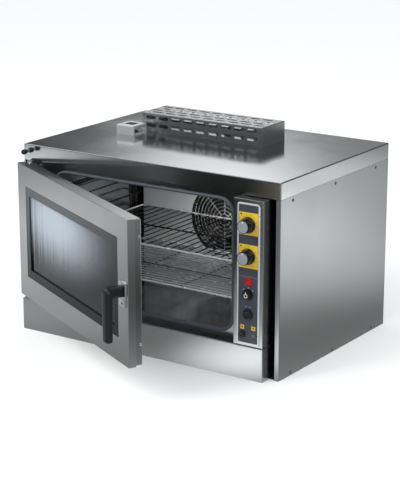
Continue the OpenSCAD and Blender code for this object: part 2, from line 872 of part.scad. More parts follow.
win_x = (win_x0 + win_x1) / 2;
win_z = (win_z0 + win_z1) / 2;
win_w = win_x1 - win_x0;
win_h = win_z1 - win_z0;
border_d = 5;

module door_skin() {
    color("gainsboro") door_pose() difference() {
        tray(door_x0, door_x1, door_y, door_z0, door_z1, skin_d, sheet);
        upright(win_x, door_y - 1, win_z, 5) round_rect(win_w, win_h, 3);
        for (z = leg_z)
            block([door_x0 - 1, door_y + sheet, z - 4], [door_x0 + sheet + 1, split_y + 1, z + leg_t + 4]);
        rod_y(handle_x, handle_z, door_y - 1, door_y + 5, spindle_d / 2 + 1);
    }
}

module door_inner_pan() {
    color("silver") door_pose() difference() {
        block([inner_x0, split_y, inner_z0], [inner_x1, door_back, inner_z1]);
        block([inner_x0 + sheet, split_y - 1, inner_z0 + sheet],
            [inner_x1 - sheet, door_back - sheet, inner_z1 - sheet]);
        upright(win_x, door_back - 5, win_z, 10) round_rect(win_w - 40, win_h - 40, 10);
        rod_y(keeper_x, handle_z, door_back - 5, door_back + 5, 5);
        for (z = edge_screw_z) rod_x(inner_x1 - 5, inner_x1 + 1, edge_screw_y, z, 2.1);
    }
}

module window_border() {
    color("black") door_pose() difference() {
        upright(win_x, door_y + 0.4, win_z, border_d) round_rect(win_w - 0.2, win_h - 0.2, 2.9);
        upright(win_x, door_y - 1, win_z, border_d + 5)
            round_rect(win_w - 2 * border_w, win_h - 2 * border_w, 2);
    }
}

module outer_glass() {
    y0 = door_y + 0.4 + border_d;
    color([0.6, 0.65, 0.7, 0.4]) door_pose()
        upright(win_x, y0, win_z, 5) round_rect(win_w - 8, win_h - 8, 3);
}

module inner_glass() {
    y1 = door_back - sheet;
    color([0.7, 0.75, 0.8, 0.4]) door_pose()
        upright(win_x, y1 - 5, win_z, 5) round_rect(win_w - 16, win_h - 16, 4);
}

edge_screw_z = [door_z0 + 62, door_z1 - 50];
edge_screw_y = door_back - 6;

module door_edge_screws() {
    color("white") door_pose() for (z = edge_screw_z) {
        rod_x(inner_x1, inner_x1 + 1.8, edge_screw_y, z, 4);
        rod_x(inner_x1 - 6, inner_x1 + 0.5, edge_screw_y, z, 2);
    }
}

// Blocks in the door that turn on the hinge pins
module hinge_blocks() {
    color("goldenrod") door_pose() for (z = leg_z) difference() {
        block([pivot_x - 12, door_y + sheet, z + leg_t + 0.4], [pivot_x + 12, pivot_y + 10, z + leg_t + 17]);
        rod_z(pivot_x, pivot_y, z, z + 30, pin_r + fit);
    }
}

bracket_w = 58;
bracket_x0 = door_x0 + 3;
bolt_x = [bracket_x0 + 12, bracket_x0 + 30, bracket_x0 + 48];
bolt_dz = 11;                   // bolts above a hinge leg

// Angle brackets on the front frame with their welded hinge pins
module hinge_brackets() {
    color("silver") for (z = leg_z) {
        difference() {
            block([bracket_x0, frame_y - 3, z - 12], [bracket_x0 + bracket_w, frame_y, z + 21]);
            for (x = bolt_x) rod_y(x, z + bolt_dz, frame_y - 4, frame_y + 1, 3.1);
        }
        block([pivot_x - leg_w / 2, pivot_y, z], [pivot_x + leg_w / 2, frame_y - 2.5, z + leg_t]);
        rod_z(pivot_x, pivot_y, z, z + leg_t, leg_w / 2);
        rod_z(pivot_x, pivot_y, z - 3, z + leg_t + 15, pin_r);
    }
}

module hinge_bolts() {
    color("white") for (z = leg_z, x = bolt_x) {
        rod_y(x, z + bolt_dz, frame_y - 3.8, frame_y - 3, 6);
        upright(x, frame_y - 6.6, z + bolt_dz, 2.9) circle(r = 5, $fn = 6);
        rod_y(x, z + bolt_dz, frame_y - 4, frame_y, 3);
    }
}

// ---- Handle and latch ----

plate_h = 72;
plate_d = 3.5;
boss_y = door_y - plate_d;

module handle_plate() {
    color("white") door_pose() difference() {
        upright(handle_x, boss_y, handle_z - 12, plate_d) round_rect(40, plate_h, 8);
        rod_y(handle_x, handle_z, boss_y - 1, door_y + 1, spindle_d / 2 + fit);
    }
}

// Neck and a grip that hangs down from it
module handle_lever() {
    top = handle_z + 9;
    color("black") door_pose() {
        rod_y(handle_x, handle_z, grip_y + grip_t / 2, boss_y - 0.5, 11);
        translate([handle_x, grip_y + grip_t / 2, top - grip_l]) linear_extrude(grip_l)
            round_rect(grip_w, grip_t, 10);
    }
}

cam_y = split_y + 8;
cam_t = 4;
cam_top = -5.2;                 // upper edge of the cam's arm, below the spindle's axis
keeper_r = 3;

// Spindle with the cam whose arm lifts into the keeper's groove
module handle_spindle() {
    color("silver") door_pose() {
        rod_y(handle_x, handle_z, boss_y - 0.5, cam_y + cam_t + 1, spindle_d / 2);
        rod_y(handle_x, handle_z, cam_y, cam_y + cam_t, 9);
        block([handle_x, cam_y, handle_z - 13], [handle_x + 24.5, cam_y + cam_t, handle_z + cam_top]);
    }
}

// Grooved stud that enters the door's back when it closes
module latch_keeper() {
    color("silver") difference() {
        rod_y(keeper_x, handle_z, split_y + 2, liner_y, keeper_r);
        translate([keeper_x, cam_y - 1.5, handle_z]) rotate([-90, 0, 0]) difference() {
            cylinder(r = keeper_r + 1, h = cam_t + 3);
            translate([0, 0, -1]) cylinder(r = 1.8, h = cam_t + 5);
        }
    }
}

chassis();
left_side_panel();
right_side_panel();
back_panel();
top_cover();
front_frame();
drip_panel();
control_fascia();
control_membrane();
pilot_lamp();
indicator_lamp();
panel_switches();
casing_screws();
cavity_liner();
insulation();
door_gasket();
left_rack();
right_rack();
air_baffle();
fan_collar();
fan_guard();
heat_exchanger();
fan_motor();
burner();
gas_valve();
water_valve();
water_pipe();
drain_pipe();
cable_gland();
flue_box();
vent_pipe();
steam_vent_box();
vent_bushing();
cavity_lamp();
lamp_lens();
hinge_brackets();
hinge_bolts();
latch_keeper();
thermostat_bulb();
upper_shelf();
lower_shelf();
fan_impeller();
fan_shaft();
timer_knob();
temperature_knob();
selector_knob();
steam_button();
lamp_button();
vent_rod();
vent_knob();
door_skin();
door_inner_pan();
window_border();
outer_glass();
inner_glass();
hinge_blocks();
door_edge_screws();
handle_plate();
handle_lever();
handle_spindle();
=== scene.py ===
"""Looks of a counter-top combi steamer oven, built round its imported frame.

Lengths are metres in the frame's own axes: +X to the right, +Y to the back, +Z up.
"""

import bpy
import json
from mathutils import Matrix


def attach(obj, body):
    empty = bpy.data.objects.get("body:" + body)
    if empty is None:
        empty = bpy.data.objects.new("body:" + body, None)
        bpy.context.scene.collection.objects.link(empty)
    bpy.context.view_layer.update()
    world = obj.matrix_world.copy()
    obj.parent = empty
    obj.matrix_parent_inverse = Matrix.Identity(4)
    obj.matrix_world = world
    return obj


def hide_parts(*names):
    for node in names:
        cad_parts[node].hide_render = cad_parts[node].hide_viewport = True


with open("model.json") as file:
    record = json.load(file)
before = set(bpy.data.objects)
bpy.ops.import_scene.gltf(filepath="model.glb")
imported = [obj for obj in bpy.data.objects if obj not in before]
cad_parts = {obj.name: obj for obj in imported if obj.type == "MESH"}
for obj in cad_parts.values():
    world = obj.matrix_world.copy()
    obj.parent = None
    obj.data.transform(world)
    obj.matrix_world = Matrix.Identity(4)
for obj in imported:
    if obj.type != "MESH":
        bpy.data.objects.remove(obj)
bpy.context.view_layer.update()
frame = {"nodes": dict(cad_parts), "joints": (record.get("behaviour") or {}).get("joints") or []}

import json
import logging
import math
from dataclasses import dataclass, field
from enum import Enum
from typing import Iterable, Sequence

import bmesh
import bpy
from mathutils import Matrix, Vector

log = logging.getLogger("oven")
MM = 0.001

Link = bpy.types.NodeSocket
Tree = bpy.types.NodeTree
Object = bpy.types.Object


# ---- Materials ----


class Axis(Enum):
    """One of the frame's own directions."""

    X = (1.0, 0.0, 0.0)
    Y = (0.0, 1.0, 0.0)
    Z = (0.0, 0.0, 1.0)


def linear(hex_colour: str) -> tuple[float, float, float, float]:
    """Turns an sRGB hex colour into linear RGB with full alpha.

    Args:
        hex_colour: A colour such as "#c0c1c1".

    Returns:
        Linear red, green and blue from 0 to 1, and an alpha of 1.
    """
    channels = [int(hex_colour[i:i + 2], 16) / 255 for i in (1, 3, 5)]
    low = [c / 12.92 if c <= 0.04045 else ((c + 0.055) / 1.055) ** 2.4 for c in channels]
    return (low[0], low[1], low[2], 1.0)


def add(tree: Tree, kind: str, inputs: dict | None = None, **settings: object) -> bpy.types.Node:
    """Adds a node with its settings, values and links.

    Args:
        tree: The node tree it goes in.
        kind: The node's type name.
        inputs: Socket name or number to a value, or to the output that feeds it.
        **settings: Attributes of the node itself.

    Returns:
        The new node.
    """
    node = tree.nodes.new(kind)
    for key, value in settings.items():
        setattr(node, key, value)
    for key, value in (inputs or {}).items():
        if isinstance(value, Link):
            tree.links.new(value, node.inputs[key])
        else:
            node.inputs[key].default_value = value
    return node


@dataclass(frozen=True)
class Finish:
    """A real material with the surface it was given.

    Subclasses add the pattern that the eye sees in it.
    """

    name: str
    colour: str
    roughness: float
    metallic: float = 0.0
    extra: tuple[tuple[str, float], ...] = ()

    def material(self) -> bpy.types.Material:
        """Returns the Blender material, made on first use."""
        found = bpy.data.materials.get(self.name)
        if found:
            return found
        made = bpy.data.materials.new(self.name)
        made.use_nodes = True
        tree = made.node_tree
        tree.nodes.clear()
        shader = add(tree, "ShaderNodeBsdfPrincipled", {
            "Base Color": linear(self.colour), "Roughness": self.roughness,
            "Metallic": self.metallic, **dict(self.extra)})
        add(tree, "ShaderNodeOutputMaterial", {"Surface": shader.outputs["BSDF"]})
        place = add(tree, "ShaderNodeTexCoord").outputs["Object"]
        self.dress(tree, shader, place)
        return made

    def dress(self, tree: Tree, shader: bpy.types.Node, place: Link) -> None:
        """Adds the finish's pattern; the plain one has none."""

    def spread(self, tree: Tree, value: Link, low: float, high: float) -> Link:
        """Maps the middle of a noise onto a range.

        Args:
            tree: The node tree.
            value: A noise from 0 to 1.
            low: What its lower third gives.
            high: What its upper third gives.

        Returns:
            The mapped output.
        """
        return add(tree, "ShaderNodeMapRange", {
            "Value": value, "From Min": 0.32, "From Max": 0.68,
            "To Min": low, "To Max": high}).outputs["Result"]

    def tint(self, tree: Tree, value: Link, dark: float, light: float) -> Link:
        """Returns the finish's colour, from dark to light times itself by a noise."""
        base = linear(self.colour)
        ends = [tuple(min(1.0, c * f) for c in base[:3]) + (1.0,) for f in (dark, light)]
        mix = add(tree, "ShaderNodeMix", {6: ends[0], 7: ends[1]}, data_type="RGBA")
        tree.links.new(self.spread(tree, value, 0.0, 1.0), mix.inputs[0])
        return mix.outputs[2]

    def noise(self, tree: Tree, place: Link, size_mm: float, detail: float = 3.0) -> Link:
        """Returns a noise whose spots are about size_mm across."""
        return add(tree, "ShaderNodeTexNoise", {
            "Vector": place, "Scale": 1 / (size_mm * MM), "Detail": detail}).outputs["Fac"]

    def wear(self, tree: Tree, shader: bpy.types.Node, value: Link, low: float, high: float) -> None:
        """Lets the roughness run from low to high times its own by a noise."""
        rough = self.spread(tree, value, self.roughness * low, min(1.0, self.roughness * high))
        tree.links.new(rough, shader.inputs["Roughness"])

    def colour_by(self, tree: Tree, shader: bpy.types.Node, value: Link, dark: float,
                  light: float) -> None:
        """Lets the colour run from dark to light times itself by a noise."""
        tree.links.new(self.tint(tree, value, dark, light), shader.inputs["Base Color"])

    def relief(self, tree: Tree, shader: bpy.types.Node, height: Link, depth_mm: float,
               strength: float) -> None:
        """Raises the surface by a noise."""
        bump = add(tree, "ShaderNodeBump", {
            "Height": height, "Distance": depth_mm * MM, "Strength": strength})
        tree.links.new(bump.outputs["Normal"], shader.inputs["Normal"])


@dataclass(frozen=True)
class BrushedSteel(Finish):
    """Stainless sheet drawn through an abrasive belt, so it has fine lines one way."""

    metallic: float = 1.0
    grain: Axis = Axis.X
    # Real belt lines are finer than 0.1 mm; these are coarser, so that they show.
    line_mm: float = 1.1
    line_length_mm: float = 90.0
    depth_mm: float = 0.012
    patch_mm: float = 140.0

    def dress(self, tree: Tree, shader: bpy.types.Node, place: Link) -> None:
        """Adds the belt's lines and the faint patches left by wiping."""
        across = 1 / (self.line_mm * MM)
        along = 1 / (self.line_length_mm * MM)
        scale = [along if part else across for part in self.grain.value]
        drawn = add(tree, "ShaderNodeMapping", {"Vector": place, "Scale": scale})
        lines = add(tree, "ShaderNodeTexNoise", {
            "Vector": drawn.outputs["Vector"], "Scale": 1.0, "Detail": 3.0,
            "Roughness": 0.6}).outputs["Fac"]
        wiped = self.noise(tree, place, self.patch_mm, 2.0)
        rough = self.spread(tree, lines, self.roughness * 0.95, self.roughness * 1.05)
        patch = self.spread(tree, wiped, -0.015, 0.02)
        both = add(tree, "ShaderNodeMath", {0: rough, 1: patch}, operation="ADD", use_clamp=True)
        tree.links.new(both.outputs[0], shader.inputs["Roughness"])
        self.colour_by(tree, shader, lines, 0.975, 1.015)
        self.relief(tree, shader, lines, self.depth_mm, 0.12)


@dataclass(frozen=True)
class PolishedSteel(Finish):
    """Mirror-polished sheet with the slight waves of thin metal and a haze of use."""

    metallic: float = 0.96
    wave_mm: float = 160.0
    wave_depth_mm: float = 0.12
    haze_mm: float = 45.0

    def dress(self, tree: Tree, shader: bpy.types.Node, place: Link) -> None:
        """Adds the sheet's waves and the haze."""
        haze = self.noise(tree, place, self.haze_mm, 1.0)
        self.wear(tree, shader, haze, 0.85, 1.2)
        self.colour_by(tree, shader, haze, 0.96, 1.03)
        self.relief(tree, shader, self.noise(tree, place, self.wave_mm, 1.0), self.wave_depth_mm, 1.0)


@dataclass(frozen=True)
class Grained(Finish):
    """A moulded, sprayed, cast or plated skin with a fine grain all over."""

    grain_mm: float = 0.8
    depth_mm: float = 0.03
    rough_spread: float = 0.25
    worn_over_grain: float = 25.0
    tone_spread: float = 0.12

    def dress(self, tree: Tree, shader: bpy.types.Node, place: Link) -> None:
        """Adds the grain to the roughness, the colour and the relief."""
        grain = self.noise(tree, place, self.grain_mm)
        worn = self.noise(tree, place, self.grain_mm * self.worn_over_grain)
        self.wear(tree, shader, worn, 1 - self.rough_spread, 1 + self.rough_spread)
        self.colour_by(tree, shader, grain, 1 - self.tone_spread, 1 + self.tone_spread)
        self.relief(tree, shader, grain, self.depth_mm, 0.6)


@dataclass(frozen=True)
class SpangledZinc(Finish):
    """Hot-dip galvanised sheet, whose zinc crystals each mirror a little differently."""

    metallic: float = 1.0
    spangle_mm: float = 9.0

    def dress(self, tree: Tree, shader: bpy.types.Node, place: Link) -> None:
        """Adds the crystals."""
        cells = add(tree, "ShaderNodeTexVoronoi", {
            "Vector": place, "Scale": 1 / (self.spangle_mm * MM), "Randomness": 1.0})
        shade = add(tree, "ShaderNodeSeparateColor", {"Color": cells.outputs["Color"]})
        self.wear(tree, shader, shade.outputs[0], 0.8, 1.2)
        self.colour_by(tree, shader, shade.outputs[1], 0.84, 1.08)


@dataclass(frozen=True)
class Pane(Finish):
    """Toughened glass with a trace of grease, which blurs it here and there."""

    smear_mm: float = 60.0

    def dress(self, tree: Tree, shader: bpy.types.Node, place: Link) -> None:
        """Adds the smears to the roughness."""
        self.wear(tree, shader, self.noise(tree, place, self.smear_mm), 0.4, 1.8)


@dataclass(frozen=True)
class MistedPane(Pane):
    """A pane with a painted light patch: milky and lighter round one spot, clearer away from it, its edge
    streaked.
    """

    thin: str = "#101419"
    heart: tuple[float, float] = (-0.22, 0.39)
    reach: tuple[float, float] = (0.50, 0.235)
    clear: float = 0.42
    streak_mm: float = 6.0

    def dress(self, tree: Tree, shader: bpy.types.Node, place: Link) -> None:
        """Adds the painted light patch as a milky colour that lets less light through."""
        moved = add(tree, "ShaderNodeVectorMath", {
            0: place, 1: (self.heart[0], 0, self.heart[1])}, operation="SUBTRACT")
        scaled = add(tree, "ShaderNodeVectorMath", {
            0: moved.outputs[0], 1: (1 / self.reach[0], 0, 1 / self.reach[1])}, operation="MULTIPLY")
        away = add(tree, "ShaderNodeVectorMath", {0: scaled.outputs[0]}, operation="LENGTH")
        run = add(tree, "ShaderNodeVectorMath", {
            0: place, 1: (1 / (self.streak_mm * MM), 0, 1.5)}, operation="MULTIPLY")
        streak = add(tree, "ShaderNodeTexNoise", {"Vector": run.outputs[0], "Scale": 1.0, "Detail": 2.0})
        drift = self.spread(tree, streak.outputs["Fac"], -0.10, 0.10)
        across = add(tree, "ShaderNodeSeparateXYZ", {"Vector": place})
        where = add(tree, "ShaderNodeMapRange", {
            "Value": across.outputs["X"], "From Min": -0.10, "From Max": -0.30, "To Min": 0.06})
        streaks = add(tree, "ShaderNodeMath", {0: drift, 1: where.outputs["Result"]}, operation="MULTIPLY")
        level = add(tree, "ShaderNodeMath", {
            0: away.outputs["Value"], 1: streaks.outputs[0]}, operation="ADD")
        # Painted light: the patch's strength, full at its centre and fading away from it.
        mist = add(tree, "ShaderNodeMapRange", {
            "Value": level.outputs[0], "From Min": 1.0, "From Max": 0.1},
            interpolation_type="SMOOTHSTEP").outputs["Result"]
        tone = add(tree, "ShaderNodeMix", {6: linear(self.thin), 7: linear(self.colour)}, data_type="RGBA")
        tree.links.new(mist, tone.inputs[0])
        tree.links.new(tone.outputs[2], shader.inputs["Base Color"])
        clear = add(tree, "ShaderNodeMapRange", {
            "Value": mist, "To Min": self.clear, "To Max": self.clear * 0.1})
        tree.links.new(clear.outputs["Result"], shader.inputs["Transmission Weight"])


@dataclass(frozen=True)
class Fibres(Finish):
    """Mineral wool: short crossed fibres in soft layers."""

    fibre_mm: float = 2.5
    tuft_mm: float = 1.5

    def dress(self, tree: Tree, shader: bpy.types.Node, place: Link) -> None:
        """Adds fibres drawn out along the layers."""
        flat = add(tree, "ShaderNodeMapping", {"Vector": place, "Scale": (0.4, 0.4, 1.6)})
        fibre = self.noise(tree, flat.outputs["Vector"], self.fibre_mm, 6.0)
        self.colour_by(tree, shader, fibre, 0.7, 1.2)
        self.relief(tree, shader, fibre, self.tuft_mm, 1.0)


# Satin stainless, belt-drawn: the lines stretch each highlight across themselves.
CASING = BrushedSteel("stainless_satin", "#c9cbcb", 0.24)
# The cover is a finer grade, so what stands on it shows as a clear reflection.
COVER = BrushedSteel("stainless_fine_satin", "#c8caca", 0.13, depth_mm=0.004, line_mm=0.9)
# Side panels are drawn upwards and a little duller.
SIDES = BrushedSteel("stainless_satin_upright", "#c3c5c5", 0.30, grain=Axis.Z)
# Fine satin for the frame and the small steel parts: calm, slightly darker than the panels.
FRAME = BrushedSteel("stainless_fine_sheet", "#b9bbbb", 0.22, line_mm=1.0)
# Bright-annealed sheet: nearly a mirror, softly waved, dark where it sees the dark.
CAVITY = PolishedSteel("stainless_bright_annealed", "#b2b4b5", 0.14)
# The baffle is pickled after welding, which leaves it paler and duller than the walls.
BAFFLE = Grained("pickled_stainless", "#c4c6c7", 0.42, 0.35, grain_mm=3.0, depth_mm=0.02, tone_spread=0.06)
# Hot-dipped zinc: flat crystals that break the grey of the back into facets.
LAGGED = SpangledZinc("hot_dipped_zinc", "#cdd1d3", 0.38)
# Anodised aluminium: a milky satin that stays bright whatever it mirrors.
TRIM = Grained("anodised_aluminium", "#e4e6e8", 0.34, 0.55, grain_mm=0.7, depth_mm=0.01, tone_spread=0.03)
# Electroplated chrome shows a hard, bright reflection with a slightly blue tone.
CHROME = Grained("chrome_plate", "#dfe1e4", 0.07, 1.0, grain_mm=2.0, depth_mm=0.004, tone_spread=0.03)
# The vent's box is plated after bending, which leaves it paler than the cover.
VENT = Grained("chrome_plated_sheet", "#eceef0", 0.3, 0.7, grain_mm=2.0, depth_mm=0.01, tone_spread=0.03)
# Racks, the upper shelf's wires and the bars under the shelves: chrome wire given a dark colour as painted
# shade, so they look dark before the pale baffle.
DARK_WIRE = Grained("heated_wire", "#4d4c4b", 0.25, 1.0, grain_mm=1.5, depth_mm=0.01, tone_spread=0.06)
# Plain chromed wire, dulled a little by heat: each rod carries one soft bright line.
WIRE = Grained("chrome_wire", "#d4d6d8", 0.28, 0.78, grain_mm=1.5, depth_mm=0.01, tone_spread=0.06)
# Shelf frames and the lower shelf's wires: chrome wire given a whiter, brighter colour as painted light.
SHELF_WIRE = Grained("bright_chrome_wire", "#eceef0", 0.25, 0.65, grain_mm=1.5, depth_mm=0.01,
                     tone_spread=0.06)
# Zinc plating on screws: a dull grey shine with no colour.
ZINC = Grained("zinc_plated_steel", "#8f9192", 0.32, 1.0, grain_mm=0.8, depth_mm=0.02)
# Phenolic moulding: deep black with a satin skin, glossier where hands polish it.
PHENOLIC = Grained("phenolic_moulding", "#17181a", 0.30, grain_mm=0.9, depth_mm=0.03)
# The knobs come out of a polished mould, so they are the glossiest black here.
KNOB = Grained("knob_moulding", "#0e0f10", 0.14, grain_mm=1.2, depth_mm=0.01)
# Grey lacquer with a trace of metal flake, which shines softly.
KNOB_CAP = Grained("knob_cap_lacquer", "#9a9fa8", 0.42, 0.35, grain_mm=0.5, depth_mm=0.01)
# Matt black buttons and selector, without the glint of the knobs.
BUTTON = Grained("button_moulding", "#121315", 0.36, grain_mm=0.7, depth_mm=0.02)
# Screen-printed polyester: a fine texture takes the shine off the slate.
FILM = Grained("polyester_film", "#3b3f49", 0.42, grain_mm=0.5, depth_mm=0.01, tone_spread=0.05)
# Printing inks lie flat and matt on the film, with a faint mottle.
YELLOW = Grained("yellow_ink", "#cfae26", 0.42, grain_mm=0.5, depth_mm=0.01, tone_spread=0.04)
BLACK_INK = Grained("black_ink", "#17181b", 0.45, grain_mm=0.5, depth_mm=0.01, tone_spread=0.04)
WHITE_INK = Grained("white_ink", "#e4e6e8", 0.45, grain_mm=0.5, depth_mm=0.01, tone_spread=0.03)
GREY_INK = Grained("grey_ink", "#7d828c", 0.45, grain_mm=0.5, depth_mm=0.01, tone_spread=0.03)
# Red lens: clear colour with a small sharp glint.
RED = Grained("red_polycarbonate", "#a8141a", 0.18, grain_mm=1.4, depth_mm=0.02, tone_spread=0.08)
# Unlit grey lens.
LENS = Grained("grey_polycarbonate", "#6b7078", 0.20, grain_mm=1.0, depth_mm=0.01)
# Silicone: soft, slightly bluish grey with a dull, dusty sheen.
SILICONE = Grained("silicone_rubber", "#474d54", 0.50, grain_mm=1.2, depth_mm=0.05)
# Stoved black enamel: wet-looking black under a thin clear coat.
ENAMEL = Grained("stoved_enamel", "#101112", 0.22, grain_mm=1.6, depth_mm=0.04,
                 extra=(("Coat Weight", 0.4), ("Coat Roughness", 0.12)))
# The border is black enamel; a painted light patch near the head of the window greys it.
BORDER = MistedPane("screened_enamel", "#4a4f51", 0.22, thin="#0c0e10", heart=(-0.30, 0.50),
                    reach=(0.72, 0.36), clear=0.0, extra=(("Specular IOR Level", 0.25),))
# The outer pane carries a painted light patch: milky and lighter round one spot, dark elsewhere.
GLASS = MistedPane("misted_glass", "#a3adb8", 0.04, clear=0.95, reach=(0.46, 0.21),
                   extra=(("IOR", 1.5), ("Specular IOR Level", 0.22)))
# The inner pane is tinted against heat, so what lies behind it looks dim and bluish.
INNER_GLASS = Pane("tinted_glass", "#5f6b7a", 0.03,
                   extra=(("Transmission Weight", 1.0), ("IOR", 1.45), ("Specular IOR Level", 0.25)))
# Thick warm glass over the lamp, a little frosted.
LAMP_GLASS = Pane("borosilicate_lens", "#e6e2d4", 0.12, extra=(("Transmission Weight", 0.8), ("IOR", 1.47)))
# Cast aluminium keeps the sand-like grain of its die.
CASTING = Grained("die_cast_aluminium", "#8d9092", 0.48, 1.0, grain_mm=1.4, depth_mm=0.12)
# The wheel runs in hot steam, so its sheet is dull and a little brown.
WHEEL = Grained("heated_steel_sheet", "#6f6b66", 0.38, 1.0, grain_mm=4.0, depth_mm=0.05)
# Turned bar and tube: even grey steel with fine marks.
BAR = Grained("turned_steel", "#a3a4a5", 0.28, 1.0, grain_mm=0.8, depth_mm=0.02)
# Machined brass fittings, warm and slightly tarnished.
BRASS = Grained("turned_brass", "#b89448", 0.30, 1.0, grain_mm=1.5, depth_mm=0.03)
# Drawn copper tube, a little browned.
COPPER = Grained("drawn_copper", "#b5714b", 0.32, 1.0, grain_mm=2.0, depth_mm=0.02)
# Blue plastic that marks the water valve.
BLUE = Grained("blue_polyamide", "#2c4d86", 0.45, grain_mm=0.9, depth_mm=0.03)
# Off-white plastic of switch bodies.
IVORY = Grained("glass_filled_polyamide", "#c9c0ac", 0.5, grain_mm=0.8, depth_mm=0.04)
# Black plastic of the cable gland, dull and grained.
NYLON = Grained("gland_polyamide", "#1b1c1d", 0.5, grain_mm=0.8, depth_mm=0.03)
# Yellow-brown wool, fuzzy and without any shine.
WOOL = Fibres("rock_wool", "#b8a36a", 0.95)


# ---- Shapes ----


@dataclass(frozen=True)
class Mount:
    """Where a new piece belongs: its body, its record slot and its pose."""

    body: str = "root"
    slot: str = "stainless_casing"
    pose: Matrix = field(default_factory=Matrix)


def settle(name: str, shape: bmesh.types.BMesh) -> bpy.types.Mesh:
    """Turns a shape into a mesh and frees it."""
    mesh = bpy.data.meshes.new(name)
    shape.to_mesh(mesh)
    shape.free()
    return mesh


def stand(name: str, data: bpy.types.ID) -> Object:
    """Puts an object with its data in the scene."""
    made = bpy.data.objects.new(name, data)
    bpy.context.scene.collection.objects.link(made)
    return made


def place(name: str, shape: bmesh.types.BMesh | bpy.types.Mesh, finish: Finish, mount: Mount,
          replaces: Iterable[str] = (), smooth: float = 34.0) -> Object:
    """Turns a shape into a piece of the oven.

    Args:
        name: The piece's name.
        shape: Its mesh, in the mount's own pose.
        finish: What it is made of.
        mount: The body that carries it and its pose.
        replaces: CAD nodes that it stands for.
        smooth: Edges sharper than this, in degrees, stay sharp.

    Returns:
        The piece's object.
    """
    if isinstance(shape, bmesh.types.BMesh):
        bmesh.ops.recalc_face_normals(shape, faces=shape.faces)
        mesh = settle(name, shape)
    else:
        mesh = shape
        mesh.name = name
    for polygon in mesh.polygons:
        polygon.use_smooth = True
    mesh.set_sharp_from_angle(angle=math.radians(smooth))
    mesh.materials.clear()
    mesh.materials.append(finish.material())
    piece = stand(name, mesh)
    piece.matrix_world = mount.pose
    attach(piece, mount.body)
    if replaces:
        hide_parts(*replaces)
    log.info("piece %s: %d faces", name, len(mesh.polygons))
    return piece


def paint(node: str, finish: Finish) -> None:
    """Gives a CAD node that stays its finish."""
    data = frame["nodes"][node].data
    data.materials.clear()
    data.materials.append(finish.material())


def fillet(points: Sequence[Vector], radius: float, steps: int = 4, closed: bool = False) -> list[Vector]:
    """Rounds the corners of a line.

    Args:
        points: The line's corners.
        radius: Radius of each bend.
        steps: Pieces in each bend.
        closed: True if the last point joins the first.

    Returns:
        The points of the rounded line.
    """
    rounded: list[Vector] = []
    count = len(points)
    for i, corner in enumerate(points):
        if not closed and i in (0, count - 1):
            rounded.append(corner.copy())
            continue
        back = (points[i - 1] - corner).normalized()
        ahead = (points[(i + 1) % count] - corner).normalized()
        angle = back.angle(ahead)
        reach = radius / math.tan(angle / 2)
        middle = corner + (back + ahead).normalized() * (radius / math.sin(angle / 2))
        start = corner + back * reach - middle
        end = corner + ahead * reach - middle
        rounded.extend(middle + start.slerp(end, k / steps) * radius for k in range(steps + 1))
    return rounded


def lathe(profile: Sequence[tuple[float, float]], centre: Vector, axis: Vector,
          steps: int = 48) -> bmesh.types.BMesh:
    """Turns a profile about an axis.

    Args:
        profile: Points of (along the axis, radius), in millimetres.
        centre: Where the axis starts.
        axis: The axis's direction.
        steps: Sides of the turned shape.

    Returns:
        The turned shape, closed where its ends reach the axis.
    """
    along = axis.normalized()
    side = along.orthogonal().normalized()
    up = along.cross(side)
    shape = bmesh.new()
    rings = []
    for deep, radius in profile:
        base = centre + along * (deep * MM)
        if radius < 1e-4:
            rings.append([shape.verts.new(base)])
            continue
        turns = [2 * math.pi * k / steps for k in range(steps)]
        rings.append([shape.verts.new(base + (side * math.cos(t) + up * math.sin(t)) * radius * MM)
                      for t in turns])
    for a, b in zip(rings, rings[1:]):
        join(shape, a, b)
    return shape


def join(shape: bmesh.types.BMesh, a: list, b: list) -> None:
    """Makes faces between two rings of vertices, either of which may be one point."""
    count = max(len(a), len(b))
    if count == 1:
        return
    for k in range(count):
        n = (k + 1) % count
        corners = [a[k % len(a)], a[n % len(a)], b[n % len(b)], b[k % len(b)]]
        shape.faces.new(list(dict.fromkeys(corners)))


def loft(sections: Sequence[Sequence[Vector]], closed: bool = False) -> bmesh.types.BMesh:
    """Skins a row of rings of points.

    Args:
        sections: The rings, all with as many points.
        closed: True if the last ring joins the first; the ends get faces otherwise.

    Returns:
        The skinned shape.
    """
    shape = bmesh.new()
    rings = [[shape.verts.new(p) for p in section] for section in sections]
    for a, b in zip(rings, rings[1:] + (rings[:1] if closed else [])):
        join(shape, a, b)
    if not closed:
        shape.faces.new(rings[0])
        shape.faces.new(list(reversed(rings[-1])))
    return shape


def outline(width: float, height: float, radius: float, steps: int = 6) -> list[tuple[Vector, Vector]]:
    """Walks round a rectangle with round corners in the XZ plane.

    Args:
        width: Its side along X.
        height: Its side along Z.
        radius: Corner radius.
        steps: Pieces in each corner.

    Returns:
        Points, each with its outward direction.
    """
    walk = []
    for quarter, (sx, sz) in enumerate(((1, 1), (-1, 1), (-1, -1), (1, -1))):
        middle = Vector((sx * (width / 2 - radius), 0, sz * (height / 2 - radius)))
        for k in range(steps + 1):
            turn = math.pi / 2 * (quarter + k / steps)
            out = Vector((math.cos(turn), 0, math.sin(turn)))
            walk.append((middle + out * radius, out))
    return walk


def moulding(width: float, height: float, radius: float, centre: Vector,
             profile: Sequence[tuple[float, float]], closed: bool = True) -> bmesh.types.BMesh:
    """Sweeps a profile round a rectangle with round corners.

    Args:
        width: The rectangle's side along X.
        height: The rectangle's side along Z.
        radius: Its corner radius.
        centre: Its centre.
        profile: Points of (outward, along +Y), in millimetres.
        closed: True for a ring; False for a solid slab, closed at both ends of the profile.

    Returns:
        The swept shape.
    """
    return loft([[centre + p + out * out_mm * MM + Vector((0, deep_mm * MM, 0))
                  for p, out in outline(width, height, radius)] for out_mm, deep_mm in profile], closed)


